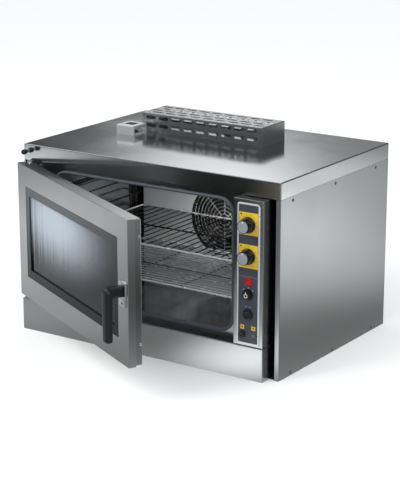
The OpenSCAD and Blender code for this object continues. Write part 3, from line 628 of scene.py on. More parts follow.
def slab(width: float, height: float, radius: float, front: Vector, thick: float,
         edge: float = 0.4) -> bmesh.types.BMesh:
    """A plate in the XZ plane with a rounded front edge.

    Args:
        width: Side along X.
        height: Side along Z.
        radius: Corner radius.
        front: Centre of its front face.
        thick: Thickness, in millimetres.
        edge: Radius of the front edge, in millimetres.

    Returns:
        The plate.
    """
    turns = [math.pi / 2 * k / 3 for k in range(4)]
    profile = [(-edge + edge * math.sin(t), edge - edge * math.cos(t)) for t in turns]
    return moulding(width, height, radius, front, [*profile, (0.0, thick)], closed=False)


@dataclass(frozen=True)
class Strand:
    """One wire: its line, its radius and whether its ends meet."""

    points: Sequence[Vector]
    radius: float
    closed: bool = False


def wires(strands: Iterable[Strand]) -> bpy.types.Mesh:
    """Makes one mesh of round wires.

    Args:
        strands: The wires.

    Returns:
        Their mesh, with flat ends closed.
    """
    curve = bpy.data.curves.new("wire", "CURVE")
    curve.dimensions = "3D"
    curve.bevel_depth = 1.0
    curve.bevel_resolution = 3
    curve.use_fill_caps = True
    for strand in strands:
        spline = curve.splines.new("POLY")
        spline.points.add(len(strand.points) - 1)
        spline.use_cyclic_u = strand.closed
        for point, at in zip(spline.points, strand.points):
            point.co = (*at, 1.0)
            point.radius = strand.radius
    holder = stand("wire", curve)
    graph = bpy.context.evaluated_depsgraph_get()
    mesh = bpy.data.meshes.new_from_object(holder.evaluated_get(graph))
    bpy.data.objects.remove(holder)
    bpy.data.curves.remove(curve)
    return mesh


def folded(node: str, bend: float, planes: tuple[Sequence[float], ...],
           unpose: Matrix | None = None) -> bmesh.types.BMesh:
    """Copies a sheet-metal node and rounds its outer folds.

    Args:
        node: The CAD node.
        bend: Outside radius of the folds, in millimetres.
        planes: Places of the outer faces along X, Y and Z, in metres.
        unpose: A transform that first sets the node square to the frame.

    Returns:
        The copy, with its folds rounded.
    """
    shape = bmesh.new()
    shape.from_mesh(frame["nodes"][node].data)
    if unpose is not None:
        shape.transform(unpose)
    bmesh.ops.remove_doubles(shape, verts=shape.verts, dist=2e-5)
    bmesh.ops.dissolve_limit(shape, angle_limit=math.radians(1.0), verts=shape.verts, edges=shape.edges)

    def outer(vert: bmesh.types.BMVert) -> set[tuple[int, float]]:
        """Names the outer planes that a corner lies on."""
        return {(i, p) for i in range(3) for p in planes[i] if abs(vert.co[i] - p) < 1e-4}

    folds = [e for e in shape.edges if len(outer(e.verts[0]) & outer(e.verts[1])) >= 2]
    bmesh.ops.bevel(shape, geom=folds, offset=bend * MM, segments=3, profile=0.5,
                    affect="EDGES", clamp_overlap=True)
    return shape


def weigh(piece: Object) -> Object:
    """Keeps a folded sheet's large faces flat in the light beside its rounded folds."""
    modifier = piece.modifiers.new("flat_faces", "WEIGHTED_NORMAL")
    modifier.keep_sharp = True
    modifier.weight = 100
    return piece


# ---- The door's pose ----

HINGE = next(j for j in frame["joints"] if j["name"] == "door_hinge")
PIVOT = Vector(HINGE["pos_m"])
DOOR_OPEN = math.radians(-HINGE["range_deg"][0])
DOOR_POSE = Matrix.Translation(PIVOT) @ Matrix.Rotation(-DOOR_OPEN, 4, "Z") @ Matrix.Translation(-PIVOT)
DOOR_SHUT = DOOR_POSE.inverted()
LEFT, BACK = Vector((-1.0, 0.0, 0.0)), Vector((0.0, 1.0, 0.0))
RIGHT, FRONT = -LEFT, -BACK
ON_DOOR = Mount("door", "stainless_casing", DOOR_POSE)
ON_HANDLE = Mount("handle", "black_phenolic", DOOR_POSE)


def at(x: float, y: float, z: float) -> Vector:
    """Turns millimetres in the oven's frame into a place in metres."""
    return Vector((x, y, z)) * MM


# ---- Sub-assemblies ----


@dataclass
class Casing:
    """The outer sheet metal, the angles inside it and the screws that hold it."""

    fold_mm: float = 2.2
    cover_fold_mm: float = 3.0
    border_front_mm: float = -346.0
    screw_xs: tuple[float, ...] = (-450.0, 450.0)
    screw_ys: tuple[float, ...] = (-246.0, -10.0, 230.0)
    screw_zs: tuple[float, ...] = (9.0, 509.4)
    screw_r_mm: float = 4.5

    def build(self) -> None:
        """Builds the panels, the control column's sheet and the screws."""
        self.panels()
        self.column()
        self.screws()
        for node in ("chassis", "back_panel"):
            paint(node, LAGGED)
        paint("front_frame", FRAME)

    def panels(self) -> None:
        """Rounds the folds of the cover, the sides and the drip panel."""
        half_x, half_y = 0.45, 0.31
        cover = folded("top_cover", self.cover_fold_mm,
                       planes=((-half_x, half_x), (-half_y, half_y), (0.57,)))
        weigh(place("cover_sheet", cover, COVER, Mount(), ["top_cover"]))
        for name, x in (("left", -half_x), ("right", half_x)):
            side = folded(f"{name}_side_panel", self.fold_mm, planes=((x,), (-half_y, half_y), ()))
            weigh(place(f"{name}_side_sheet", side, SIDES, Mount(), [f"{name}_side_panel"]))
        drip = folded("drip_panel", self.fold_mm, planes=((-0.443, 0.417), (-0.344,), (0.098,)))
        weigh(place("drip_sheet", drip, CASING, Mount(), ["drip_panel"]))

    def column(self) -> None:
        """Rounds the control column's folds and the raised border of its film."""
        box = folded("control_fascia", self.fold_mm,
                     planes=((0.321, 0.417), (-0.344,), (0.1, 0.52)))
        rim = [e for e in box.edges if e.is_manifold and e.calc_face_angle() > math.radians(50)
               and all(abs(v.co.y - self.border_front_mm * MM) < 1e-5 for v in e.verts)]
        bmesh.ops.bevel(box, geom=rim, offset=0.7 * MM, segments=3, profile=0.5,
                        affect="EDGES", clamp_overlap=True)
        weigh(place("column_sheet", box, CASING, Mount(), ["control_fascia"]))
        trim = moulding(62.8 * MM, 394.8 * MM, 2.4 * MM, at(369.5, -344.0, 307.5),
                        [(0.1, 0), (0.1, -1.4), (0.5, -2.1), (1.2, -2.3), (3.9, -2.3), (4.8, -2.0),
                         (5.25, -1.3), (5.25, 0)])
        place("column_trim", trim, TRIM, Mount(), smooth=50)

    def screws(self) -> None:
        """Turns the pan heads of the side screws, each with its driver recess."""
        every = bmesh.new()
        r = self.screw_r_mm
        head = [(-6.0, 0.0), (-6.0, 1.9), (0.0, 1.9), (0.05, r), (0.9, r), (1.7, r * 0.78),
                (2.1, r * 0.45), (2.1, 1.5), (1.1, 0.9), (1.0, 0.0)]
        for x in self.screw_xs:
            for y in self.screw_ys:
                for z in self.screw_zs:
                    merge(every, lathe(head, at(x, y, z), Vector((x, 0, 0)), 32))
        place("side_screws", every, ZINC, Mount(slot="zinc_screw"), ["casing_screws"], smooth=40)


def merge(whole: bmesh.types.BMesh, part: bmesh.types.BMesh) -> None:
    """Moves one shape's faces into another."""
    mesh = settle("merge", part)
    whole.from_mesh(mesh)
    bpy.data.meshes.remove(mesh)


@dataclass
class ControlColumn:
    """The film of the control column with its prints, knobs, buttons and lamps."""

    x_mm: float = 369.5
    film_y_mm: float = -344.8
    knob_zs: tuple[float, float] = (449.5, 360.0)
    knob_r_mm: float = 23.0
    knob_h_mm: float = 31.0
    selector_z_mm: float = 249.0
    steam_z_mm: float = 192.0
    lamp_z_mm: float = 133.0
    lamp_dx_mm: float = 18.0
    pilot_z_mm: float = 287.5

    def build(self) -> None:
        """Builds the prints, then what turns, presses and lights."""
        paint("control_membrane", FILM)
        paint("panel_switches", IVORY)
        self.prints()
        for body, z in zip(("timer", "temperature"), self.knob_zs):
            self.knob(body, z)
        self.selector()
        self.buttons()
        self.lamps()

    def patch(self, name: str, box: tuple[float, float, float, float], finish: Finish,
              layer: int = 1, radius: float = 1.0) -> None:
        """Prints a patch of ink on the film.

        Args:
            name: The patch's name.
            box: Its left, bottom, right and top, in millimetres.
            finish: The ink.
            layer: 1 lies on the film, 2 on another ink.
            radius: Corner radius, in millimetres.
        """
        x0, z0, x1, z1 = box
        front = at((x0 + x1) / 2, self.film_y_mm - 0.05 * layer, (z0 + z1) / 2)
        shape = slab((x1 - x0) * MM, (z1 - z0) * MM, radius * MM, front, 0.04, edge=0.01)
        place(name, shape, finish, Mount(slot="membrane_film"))

    def prints(self) -> None:
        """Prints the yellow fields, the dial marks, the dashes and the lines."""
        x = self.x_mm
        self.patch("timer_field", (338.8, 420, 400.2, 484), YELLOW)
        self.patch("temperature_field", (338.8, 326, 400.2, 393), YELLOW)
        self.patch("pilot_line", (340, 300.6, 399, 301.6), GREY_INK, radius=0.4)
        for k, left in enumerate((x - 10.5, x + 1.5)):
            self.patch(f"steam_dash_{k}", (left, 213.8, left + 8, 215.8), GREY_INK, radius=0.8)
        for k, top in enumerate((484, 393)):
            self.patch(f"field_sign_{k}", (342.5, top - 8.5, 347.5, top - 3.5), BLACK_INK, layer=2)
        self.patch("lamp_patch", (x - 25, 148, x - 12, 160), YELLOW)
        self.patch("fan_patch", (x + 11, 148, x + 24, 160), YELLOW)
        for name, dx in (("lamp", -18.5), ("fan", 17.5)):
            self.patch(f"{name}_sign", (x + dx - 2.6, 151.4, x + dx + 2.6, 156.6), BLACK_INK,
                       layer=2, radius=2.5)
        self.patch("selector_field", (x - 17, 231.5, x + 17, 266.5), BLACK_INK, radius=17)
        for index, z in enumerate(self.knob_zs):
            self.dial(("timer", "temperature")[index], z, (12, 11)[index])
        for k in range(3):
            turn = math.radians(90 + (k - 1) * 45)
            spot = (x - 20.5 * math.cos(turn), self.selector_z_mm + 20.5 * math.sin(turn))
            self.patch(f"selector_spot_{k}", (spot[0] - 1.2, spot[1] - 1.2, spot[0] + 1.2, spot[1] + 1.2),
                       WHITE_INK, radius=1.19)

    def dial(self, name: str, z: float, count: int) -> None:
        """Prints short dashes round a knob.

        Args:
            name: The knob's name.
            z: Height of its axis, in millimetres.
            count: Number of dashes.
        """
        every = bmesh.new()
        for k in range(count):
            turn = math.radians(-60 - k * 300 / (count - 1))
            dash = slab(1.1 * MM, 3.4 * MM, 0.3 * MM, at(0, 0, 27.4), 0.04, edge=0.01)
            dash.transform(Matrix.Translation(at(self.x_mm, self.film_y_mm - 0.1, z))
                           @ Matrix.Rotation(turn + math.radians(210), 4, "Y"))
            merge(every, dash)
        place(f"{name}_dashes", every, BLACK_INK, Mount(slot="membrane_film"))

    def knob(self, body: str, z: float) -> None:
        """Turns a knob: a skirt, a waisted grip, a pointer and a lacquered cap.

        Args:
            body: The body it turns with.
            z: Height of its axis, in millimetres.
        """
        r, h = self.knob_r_mm, self.knob_h_mm
        seat = at(self.x_mm, -346.0, z)
        mount = Mount(body, "black_phenolic")
        profile = [(-31.4, 0.0), (-31.4, 3.0), (-0.2, 3.0), (0.0, r - 0.8), (1.0, r - 0.1), (5.6, r - 0.1),
                   (7.6, r - 1.0), (8.6, r - 2.4), (12.0, r - 3.0), (h - 5.0, r - 3.6), (h - 2.0, r - 4.2),
                   (h - 0.7, r - 5.4), (h - 0.6, 0.0)]
        turned = lathe(profile, seat, FRONT, 96)
        place(f"{body}_grip", turned, KNOB, mount, [f"{body}_knob"], smooth=50)
        cap = lathe([(h - 0.8, 0.0), (h - 0.8, r - 6.4), (h - 0.35, r - 6.6), (h - 0.05, r - 7.2),
                     (h, r - 8.2), (h, 0.0)], seat, FRONT, 64)
        place(f"{body}_cap", cap, KNOB_CAP, mount, smooth=50)
        line = bmesh.new()
        for low, high, deep in ((r - 6.9, r - 13.0, h - 0.1), (r - 0.5, r - 2.6, 7.0)):
            front = at(0, -deep - 0.25, (low + high) / 2)
            mark = slab(1.8 * MM, (low - high) * MM, 0.5 * MM, front, 0.6, edge=0.1)
            mark.transform(Matrix.Translation(seat))
            merge(line, mark)
        place(f"{body}_pointer", line, WHITE_INK, mount)

    def selector(self) -> None:
        """Turns the selector with its white ring and pointer."""
        seat = at(self.x_mm, -345.6, self.selector_z_mm)
        mount = Mount("selector", "black_phenolic")
        body = lathe([(-25.5, 0), (-25.5, 3), (-0.2, 3), (0, 12.2), (1, 12.5), (10.5, 12.3), (12.4, 11.4),
                      (13.0, 9.8), (13.0, 6.4), (12.5, 6.0), (12.5, 0)], seat, FRONT, 64)
        place("selector_grip", body, BUTTON, mount, ["selector_knob"], smooth=50)
        ring = lathe([(12.4, 4.2), (13.2, 4.4), (13.6, 5.0), (13.2, 5.7), (12.4, 5.8)], seat, FRONT, 48)
        place("selector_ring", ring, WHITE_INK, mount, smooth=60)
        front = at(self.x_mm, -345.6 - 13.3, self.selector_z_mm + 8.4)
        mark = slab(1.8 * MM, 4.6 * MM, 0.6 * MM, front, 0.6, edge=0.1)
        place("selector_pointer", mark, WHITE_INK, mount)

    def buttons(self) -> None:
        """Turns the caps of the two push buttons, dished for a fingertip."""
        for body, x, z, r in (("steam_button", self.x_mm, self.steam_z_mm, 14.0),
                              ("lamp_button", self.x_mm - self.lamp_dx_mm, self.lamp_z_mm, 8.5)):
            seat = at(x, -349.0, z)
            cap = lathe([(-21.5, 0), (-21.5, 3), (-0.2, 3), (0, r - 0.4), (0.6, r), (2.4, r - 0.1),
                         (3.6, r - 0.9), (4.0, r - 2.2), (3.7, r * 0.62), (3.2, r * 0.3), (3.1, 0)],
                        seat, FRONT, 56)
            place(f"{body}_cap", cap, BUTTON, Mount(body, "black_button"), [body], smooth=60)
            collar = lathe([(0.0, r + 0.4), (0.0, r + 2.4), (0.5, r + 2.6), (1.1, r + 2.2), (1.3, r + 1.2),
                            (1.1, r + 0.5), (0.0, r + 0.4)], at(x, -344.85, z), FRONT, 56)
            place(f"{body}_collar", collar, BLACK_INK, Mount(slot="black_button"), smooth=60)

    def lamps(self) -> None:
        """Moulds the pilot lamp's lens in its frame and the small grey lamp."""
        z = self.pilot_z_mm
        ring = moulding(21 * MM, 23 * MM, 2 * MM, at(self.x_mm, -344.9, z),
                        [(0, 0), (0, -1.4), (-0.4, -1.9), (-0.9, -1.9), (-1.2, -1.5), (-1.2, 0)])
        place("pilot_frame", ring, RED, Mount(slot="red_lens"))
        lens = slab(18.6 * MM, 20.6 * MM, 1.2 * MM, at(self.x_mm, -347.3, z), 12.0, edge=1.0)
        place("pilot_lens", lens, RED, Mount(slot="red_lens"), ["pilot_lamp"])
        dome = lathe([(-12, 0), (-12, 3), (0, 3), (0.1, 4.0), (0.7, 3.9), (1.3, 2.9), (1.6, 1.4), (1.6, 0)],
                     at(self.x_mm + self.lamp_dx_mm, self.film_y_mm, self.lamp_z_mm), FRONT, 40)
        place("indicator_dome", dome, LENS, Mount(slot="grey_lens"), ["indicator_lamp"], smooth=70)


@dataclass
class Door:
    """The double-glazed door with its handle plate; built shut, then set to its pose."""

    fold_mm: float = 1.1
    pan_fold_mm: float = 3.0
    glass_x: tuple[float, float] = (-385.0, 253.0)
    glass_z: tuple[float, float] = (179.0, 458.0)
    border_mm: float = 25.0
    screw_zs: tuple[float, float] = (172.0, 469.0)
    handle_x_mm: float = 284.0
    handle_z_mm: float = 322.0

    def build(self) -> None:
        """Builds the sheets, the glazing, the screws and the handle plate."""
        self.sheets()
        self.glazing()
        self.screws()
        self.plate()
        paint("hinge_blocks", FRAME)

    def sheets(self) -> None:
        """Rounds the folds of the outer skin and the inner pan."""
        skin = folded("door_skin", self.fold_mm,
                      ((-0.443, 0.315), (-0.354,), (0.110, 0.519)), DOOR_SHUT)
        weigh(place("door_outer_sheet", skin, CASING, ON_DOOR, ["door_skin"]))
        pan = folded("door_inner_pan", self.pan_fold_mm,
                     ((-0.408, 0.313), (-0.312,), (0.1125, 0.518)), DOOR_SHUT)
        mount = Mount("door", "stainless_frame", DOOR_POSE)
        weigh(place("door_inner_sheet", pan, FRAME, mount, ["door_inner_pan"]))

    def glazing(self) -> None:
        """Fits the printed border, its sealing bead and the two panes."""
        paint("outer_glass", GLASS)
        paint("inner_glass", INNER_GLASS)
        paint("window_border", BORDER)
        (x0, x1), (z0, z1) = self.glass_x, self.glass_z
        centre = at((x0 + x1) / 2, -354.0, (z0 + z1) / 2)
        bead = moulding((x1 - x0) * MM, (z1 - z0) * MM, 3 * MM, centre,
                        [(-0.1, 1.5), (-0.1, 0.1), (-0.5, -0.15), (-1.2, 0.0), (-1.7, 0.5), (-1.7, 1.5)])
        place("window_bead", bead, BORDER, Mount("door", "border_enamel", DOOR_POSE))

    def screws(self) -> None:
        """Turns the two countersunk screws in the door's free edge."""
        every = bmesh.new()
        for z in self.screw_zs:
            merge(every, lathe([(-6, 0), (-6, 2), (0, 2), (0.1, 4), (0.9, 3.8), (1.5, 3.0), (1.8, 1.9),
                                (1.8, 1.4), (0.9, 0.8), (0.8, 0)], at(313, -318, z), RIGHT, 32))
        place("edge_screws", every, CHROME, Mount("door", "chrome_plating", DOOR_POSE),
              ["door_edge_screws"], smooth=45)

    def plate(self) -> None:
        """Presses the handle's plate with a rolled edge and its lower screw."""
        x, z = self.handle_x_mm, self.handle_z_mm
        mount = Mount("door", "chrome_plating", DOOR_POSE)
        turns = [math.pi / 2 * k / 4 for k in range(5)]
        edge = [(-1.6 + 1.6 * math.sin(t), 1.6 - 1.6 * math.cos(t)) for t in turns]
        shape = moulding(40 * MM, 72 * MM, 8 * MM, at(x, -357.5, z - 12), [*edge, (0, 3.4)], closed=False)
        place("plate_cover", shape, CHROME, mount, ["handle_plate"], smooth=60)
        head = lathe([(0, 3.6), (0.8, 3.4), (1.3, 2.4), (1.3, 1.5), (0.6, 0.9), (0.5, 0)],
                     at(x, -357.5, z - 38), FRONT, 32)
        place("plate_screws", head, ZINC, mount, smooth=45)


@dataclass
class Handle:
    """The moulded lever of the door and the spindle that turns its latch."""

    x_mm: float = 284.0
    z_mm: float = 322.0
    grip_y_mm: float = -400.0
    grip_w_mm: float = 40.0
    grip_t_mm: float = 24.0
    low_z_mm: float = 181.0
    top_z_mm: float = 332.6

    def build(self) -> None:
        """Lofts the grip and its neck."""
        paint("handle_spindle", FRAME)
        grip = self.grip()
        merge(grip, self.neck())
        piece = place("lever_moulding", grip, PHENOLIC, ON_HANDLE, ["handle_lever"], smooth=75)
        weigh(piece)

    def section(self, z: float, half_w: float, half_t: float) -> list[Vector]:
        """Walks round the grip at one height, flatter at the front than a circle.

        Args:
            z: Height, in millimetres.
            half_w: Half its width, in millimetres.
            half_t: Half its depth, in millimetres.

        Returns:
            The section's points.
        """
        ring = []
        power = 2 / 2.7
        for k in range(40):
            turn = 2 * math.pi * k / 40
            c, s = math.cos(turn), math.sin(turn)
            ring.append(at(self.x_mm + half_w * math.copysign(abs(c) ** power, c),
                           self.grip_y_mm + half_t * math.copysign(abs(s) ** power, s), z))
        return ring

    def grip(self) -> bmesh.types.BMesh:
        """Lofts the grip from its rounded foot to its domed head."""
        w, t = self.grip_w_mm / 2, self.grip_t_mm / 2
        low, top = self.low_z_mm, self.top_z_mm
        stations = []
        for k in range(7):
            turn = math.pi / 2 * k / 6
            rise, flare = 1 - math.cos(turn), math.sin(turn)
            stations.append((low + 7 * rise, 0.45 + 0.43 * flare, 0.3 + 0.58 * flare))
        stations += [(low + 25, 0.89, 0.88), (low + 60, 0.93, 0.9), (low + 100, 0.98, 0.95),
                     (top - 32, 1.0, 0.98)]
        for k in range(9):
            turn = math.pi / 2 * k / 8
            rise, flare = math.sin(turn), math.cos(turn)
            stations.append((top - 22 + 22 * rise, 0.12 + 0.88 * flare, 0.12 + 0.86 * flare))
        return loft([self.section(z, w * a, t * b) for z, a, b in stations])

    def neck(self) -> bmesh.types.BMesh:
        """Lofts the stout neck from the plate into the grip's head."""
        rings = []
        for y, half_w, half_h in ((-358.2, 11.5, 14.5), (-359.2, 12.6, 15.6), (-362, 13.0, 16.0),
                                  (-372, 12.6, 15.2), (-382, 13.0, 15.2), (-390, 14.6, 16.0),
                                  (-397, 15.4, 16.4)):
            walk = outline(2 * half_w * MM, 2 * half_h * MM, 8 * MM, 6)
            rings.append([at(self.x_mm, y, self.z_mm - 3) + p for p, _ in walk])
        return loft(rings)


@dataclass
class Cavity:
    """The cooking space: liner, seal, racks, shelves and the fan behind its baffle."""

    mid_x_mm: float = -21.0
    shelf_w_mm: float = 600.0
    shelf_y_mm: tuple[float, float] = (-270.0, 114.0)
    rack_dx_mm: float = 322.0
    rack_foot_mm: float = 118.3
    rail_zs: tuple[float, ...] = tuple(144.0 + 53.4 * k for k in range(6))
    upper_z_mm: float = 311.2
    lower_z_mm: float = 203.2
    frame_r_mm: float = 3.0
    wire_r_mm: float = 1.7
    fan_z_mm: float = 300.0
    guard_y_mm: float = 132.0
    guard_r_mm: float = 113.0

    def build(self) -> None:
        """Builds the seal, the wirework and the fan's guard."""
        for node in ("cavity_liner", "heat_exchanger"):
            paint(node, CAVITY)
        paint("air_baffle", BAFFLE)
        paint("fan_collar", ENAMEL)
        paint("fan_impeller", WHEEL)
        paint("fan_shaft", BAR)
        paint("thermostat_bulb", WIRE)
        paint("latch_keeper", FRAME)
        paint("hinge_brackets", FRAME)
        paint("hinge_bolts", CHROME)
        paint("insulation", WOOL)
        paint("fan_motor", CASTING)
        paint("cavity_lamp", CASTING)
        self.seal()
        self.racks()
        self.shelves()
        self.guard()
        self.lamp()

    def seal(self) -> None:
        """Extrudes the door seal: a hollow bulb on a clipped foot, all round the mouth."""
        centre = at(self.mid_x_mm, -305.0, 308.5)
        profile = [(0.3, 0.0), (0.2, -1.2), (0.9, -2.2), (2.1, -3.0), (2.4, -4.6), (3.4, -5.9),
                   (5.0, -6.45), (6.6, -5.9), (7.6, -4.6), (8.2, -3.6), (9.4, -2.6), (9.9, -1.4),
                   (9.8, 0.0)]
        bulb = moulding(622 * MM, 375 * MM, 40 * MM, centre, profile)
        place("seal_profile", bulb, SILICONE, Mount(slot="silicone_seal"), ["door_gasket"], smooth=60)

    def racks(self) -> None:
        """Bends the side racks: two uprights each, with a runner hooked out at every level."""
        y0, y1 = self.shelf_y_mm[0] + 14, self.shelf_y_mm[1] - 14
        for name, side in (("left", -1), ("right", 1)):
            up = self.mid_x_mm + side * self.rack_dx_mm
            inner = self.mid_x_mm + side * (self.shelf_w_mm / 2 - 6)
            top = self.rail_zs[-1] + 26
            hoop = [at(up, y0, self.rack_foot_mm), at(up, y0, top), at(up, y1, top),
                    at(up, y1, self.rack_foot_mm)]
            strands = [Strand(fillet(hoop, 14 * MM, 6), 3.0 * MM)]
            for z in self.rail_zs:
                line = [at(up, y0, z), at(inner, y0, z), at(inner, y1, z), at(up, y1, z)]
                strands.append(Strand(fillet(line, 7 * MM, 5), 2.4 * MM))
            # The racks carry painted shade: their wire is coloured dark.
            place(f"{name}_rack_wires", wires(strands), DARK_WIRE, Mount(slot="bright_wire"),
                  [f"{name}_rack"], smooth=60)

    def shelves(self) -> None:
        """Bends the two wire shelves."""
        # The upper shelf's wires carry painted shade, the lower shelf's wires painted light.
        self.shelf("upper_shelf", self.upper_z_mm, 20, DARK_WIRE, lengthwise=True)
        self.shelf("lower_shelf", self.lower_z_mm, 18, SHELF_WIRE, lengthwise=False)

    def shelf(self, body: str, z: float, count: int, finish: Finish, lengthwise: bool) -> None:
        """Bends one shelf: a closed frame, its wires and the bars under them.

        Args:
            body: The body it slides with; also the CAD node that it replaces.
            z: Height of the frame's middle, in millimetres.
            count: Number of wires.
            finish: The wires' finish, with painted shade or painted light; the frame always takes the wire
                with painted light.
            lengthwise: True if the wires run from front to back.
        """
        half = self.shelf_w_mm / 2 - self.frame_r_mm
        x0, x1 = self.mid_x_mm - half, self.mid_x_mm + half
        y0, y1 = self.shelf_y_mm[0] + self.frame_r_mm, self.shelf_y_mm[1] - self.frame_r_mm
        corners = [at(x0, y0, z), at(x1, y0, z), at(x1, y1, z), at(x0, y1, z)]
        rim = [Strand(fillet(corners, 9 * MM, 6, closed=True), self.frame_r_mm * MM, closed=True)]
        # The frame carries painted light: its wire is coloured whiter and brighter.
        place(f"{body}_frame", wires(rim), SHELF_WIRE, Mount(body, "bright_wire"), smooth=60)
        strands = []
        for k in range(1, count + 1):
            if lengthwise:
                x = x0 + (x1 - x0) * k / (count + 1)
                line = [at(x, y0, z), at(x, y1, z)]
            else:
                y = y0 + (y1 - y0) * k / (count + 1)
                line = [at(x0, y, z), at(x1, y, z)]
            strands.append(Strand(line, self.wire_r_mm * MM))
        under = z - 1.9
        if lengthwise:
            mid = (y0 + y1) / 2
            bars = [Strand([at(x0, mid, under), at(x1, mid, under)], 2.3 * MM)]
        else:
            bars = [Strand([at(x, y0, under), at(x, y1, under)], 2.3 * MM)
                    for x in (self.mid_x_mm - 100, self.mid_x_mm + 100)]
        # The bars under each shelf carry painted shade: their wire is coloured dark.
        place(f"{body}_bars", wires(bars), DARK_WIRE, Mount(body, "bright_wire"), smooth=60)
        place(f"{body}_wires", wires(strands), finish, Mount(body, "bright_wire"), [body], smooth=60)

    def guard(self) -> None:
        """Winds the fan guard: rings of wire on eight spokes."""
        strands = []
        for k in range(1, 10):
            r = self.guard_r_mm * (k + 0.6) / 9.9
            ring = [at(self.mid_x_mm + r * math.cos(t), self.guard_y_mm, self.fan_z_mm + r * math.sin(t))
                    for t in (2 * math.pi * n / 72 for n in range(72))]
            strands.append(Strand(ring, 1.1 * MM, closed=True))
        for k in range(8):
            c, s = math.cos(k * math.pi / 4), math.sin(k * math.pi / 4)
            ends = [at(self.mid_x_mm + r * c, self.guard_y_mm + 1.6, self.fan_z_mm + r * s)
                    for r in (self.guard_r_mm * 0.15, self.guard_r_mm - 0.6)]
            strands.append(Strand(ends, 1.3 * MM))
        place("guard_wires", wires(strands), WIRE, Mount(slot="bright_wire"), ["fan_guard"], smooth=60)

    def lamp(self) -> None:
        """Presses the oven lamp's domed lens."""
        dome = lathe([(0, 0), (0, 27), (1.0, 26.9), (2.6, 25.2), (4.6, 20.0), (5.9, 12.0),
                      (6.3, 4.0), (6.4, 0)], at(311.45, -40, 400), LEFT, 56)
        place("lens_dome", dome, LAMP_GLASS, Mount(slot="lens_glass"), ["lamp_lens"], smooth=70)


@dataclass
class Outlets:
    """What stands on the cover: the flue box and the steam vent with its damper rod."""

    flue_fold_mm: float = 2.4
    vent_fold_mm: float = 2.4
    rod_x_mm: float = -423.0
    rod_z_mm: float = 553.0

    def build(self) -> None:
        """Builds both boxes and the damper's knob."""
        flue = folded("flue_box", self.flue_fold_mm,
                      planes=((-0.269, 0.169), (0.042, 0.172), (0.628,)))
        weigh(place("flue_sheet", flue, CASING, Mount(), ["flue_box"]))
        vent = folded("steam_vent_box", self.vent_fold_mm,
                      planes=((-0.307, -0.243), (-0.038, 0.028), (0.599,)))
        weigh(place("vent_sheet", vent, VENT, Mount(slot="chrome_plating"), ["steam_vent_box"]))
        paint("vent_pipe", BAR)
        paint("vent_rod", CHROME)
        self.knob()

    def knob(self) -> None:
        """Turns the damper's knob and the bushing that guides its rod."""
        knob = lathe([(0, 0), (0, 5.2), (0.6, 6.0), (4.0, 6.2), (8.0, 7.6), (13.5, 7.9), (16.6, 7.0),
                      (17.7, 5.0), (18.0, 2.4), (18.0, 0)],
                     at(self.rod_x_mm, -330.0, self.rod_z_mm), FRONT, 48)
        place("damper_knob", knob, PHENOLIC, Mount("vent", "black_phenolic"), ["vent_knob"], smooth=55)
        flange = lathe([(-7.4, 4.2), (-7.4, 5.9), (-0.1, 6.0), (0, 7.8), (0.6, 8.0), (5.0, 7.4), (6.6, 6.4),
                        (7.0, 5.4), (7.0, 4.3), (-7.4, 4.2)],
                        at(self.rod_x_mm, -310.0, self.rod_z_mm), FRONT, 48)
        place("rod_bushing", flange, PHENOLIC, Mount(slot="black_phenolic"), ["vent_bushing"], smooth=55)


@dataclass
class Services:
    """Gas, water, drain and mains connections at the back, with their threads."""

    threads: tuple[tuple[str, float, float, float, float, float, str], ...] = (
        ("gas_thread", 380.0, 60.0, 10.5, 315.0, 333.8, "brass_fitting"),
        ("water_thread", 300.0, 250.0, 13.2, 315.0, 327.8, "brass_fitting"))
    pitch_mm: float = 1.8

    def build(self) -> None:
        """Paints the fittings and cuts the threads."""
        for node, finish in (("gas_valve", BRASS), ("burner", BAR), ("water_valve", BLUE),
                             ("water_pipe", COPPER), ("drain_pipe", BAR), ("cable_gland", NYLON)):
            paint(node, finish)
        for name, x, z, r, y0, y1, slot in self.threads:
            count = int((y1 - y0) / self.pitch_mm)
            profile = [(0.0, r - 1.0)]
            for k in range(count):
                profile += [(k * self.pitch_mm + 0.2, r + 0.02), (k * self.pitch_mm + 0.9, r + 0.22),
                            (k * self.pitch_mm + 1.6, r + 0.02)]
            profile += [(y1 - y0, r - 1.0), (0.0, r - 1.0)]
            place(name, lathe(profile, at(x, y0, z), BACK, 48), BRASS, Mount(slot=slot), smooth=20)


# ---- Studio ----


@dataclass(frozen=True)
class Softbox:
    """A round glow in the surroundings, named by where a mirror would find it."""

    azimuth: float
    elevation: float
    spread: float
    strength: float

    @property
    def direction(self) -> Vector:
        """Its direction; the azimuth turns from +Y towards -X."""
        a, e = math.radians(self.azimuth), math.radians(self.elevation)
        return Vector((-math.sin(a) * math.cos(e), math.cos(a) * math.cos(e), math.sin(e)))


@dataclass(frozen=True)
class Flag:
    """A soft round patch of the floor that mirrors show lighter or darker.

    Cards laid beside polished steel in a studio serve the same end.
    """

    x: float
    y: float
    across: float
    deep: float
    change: float


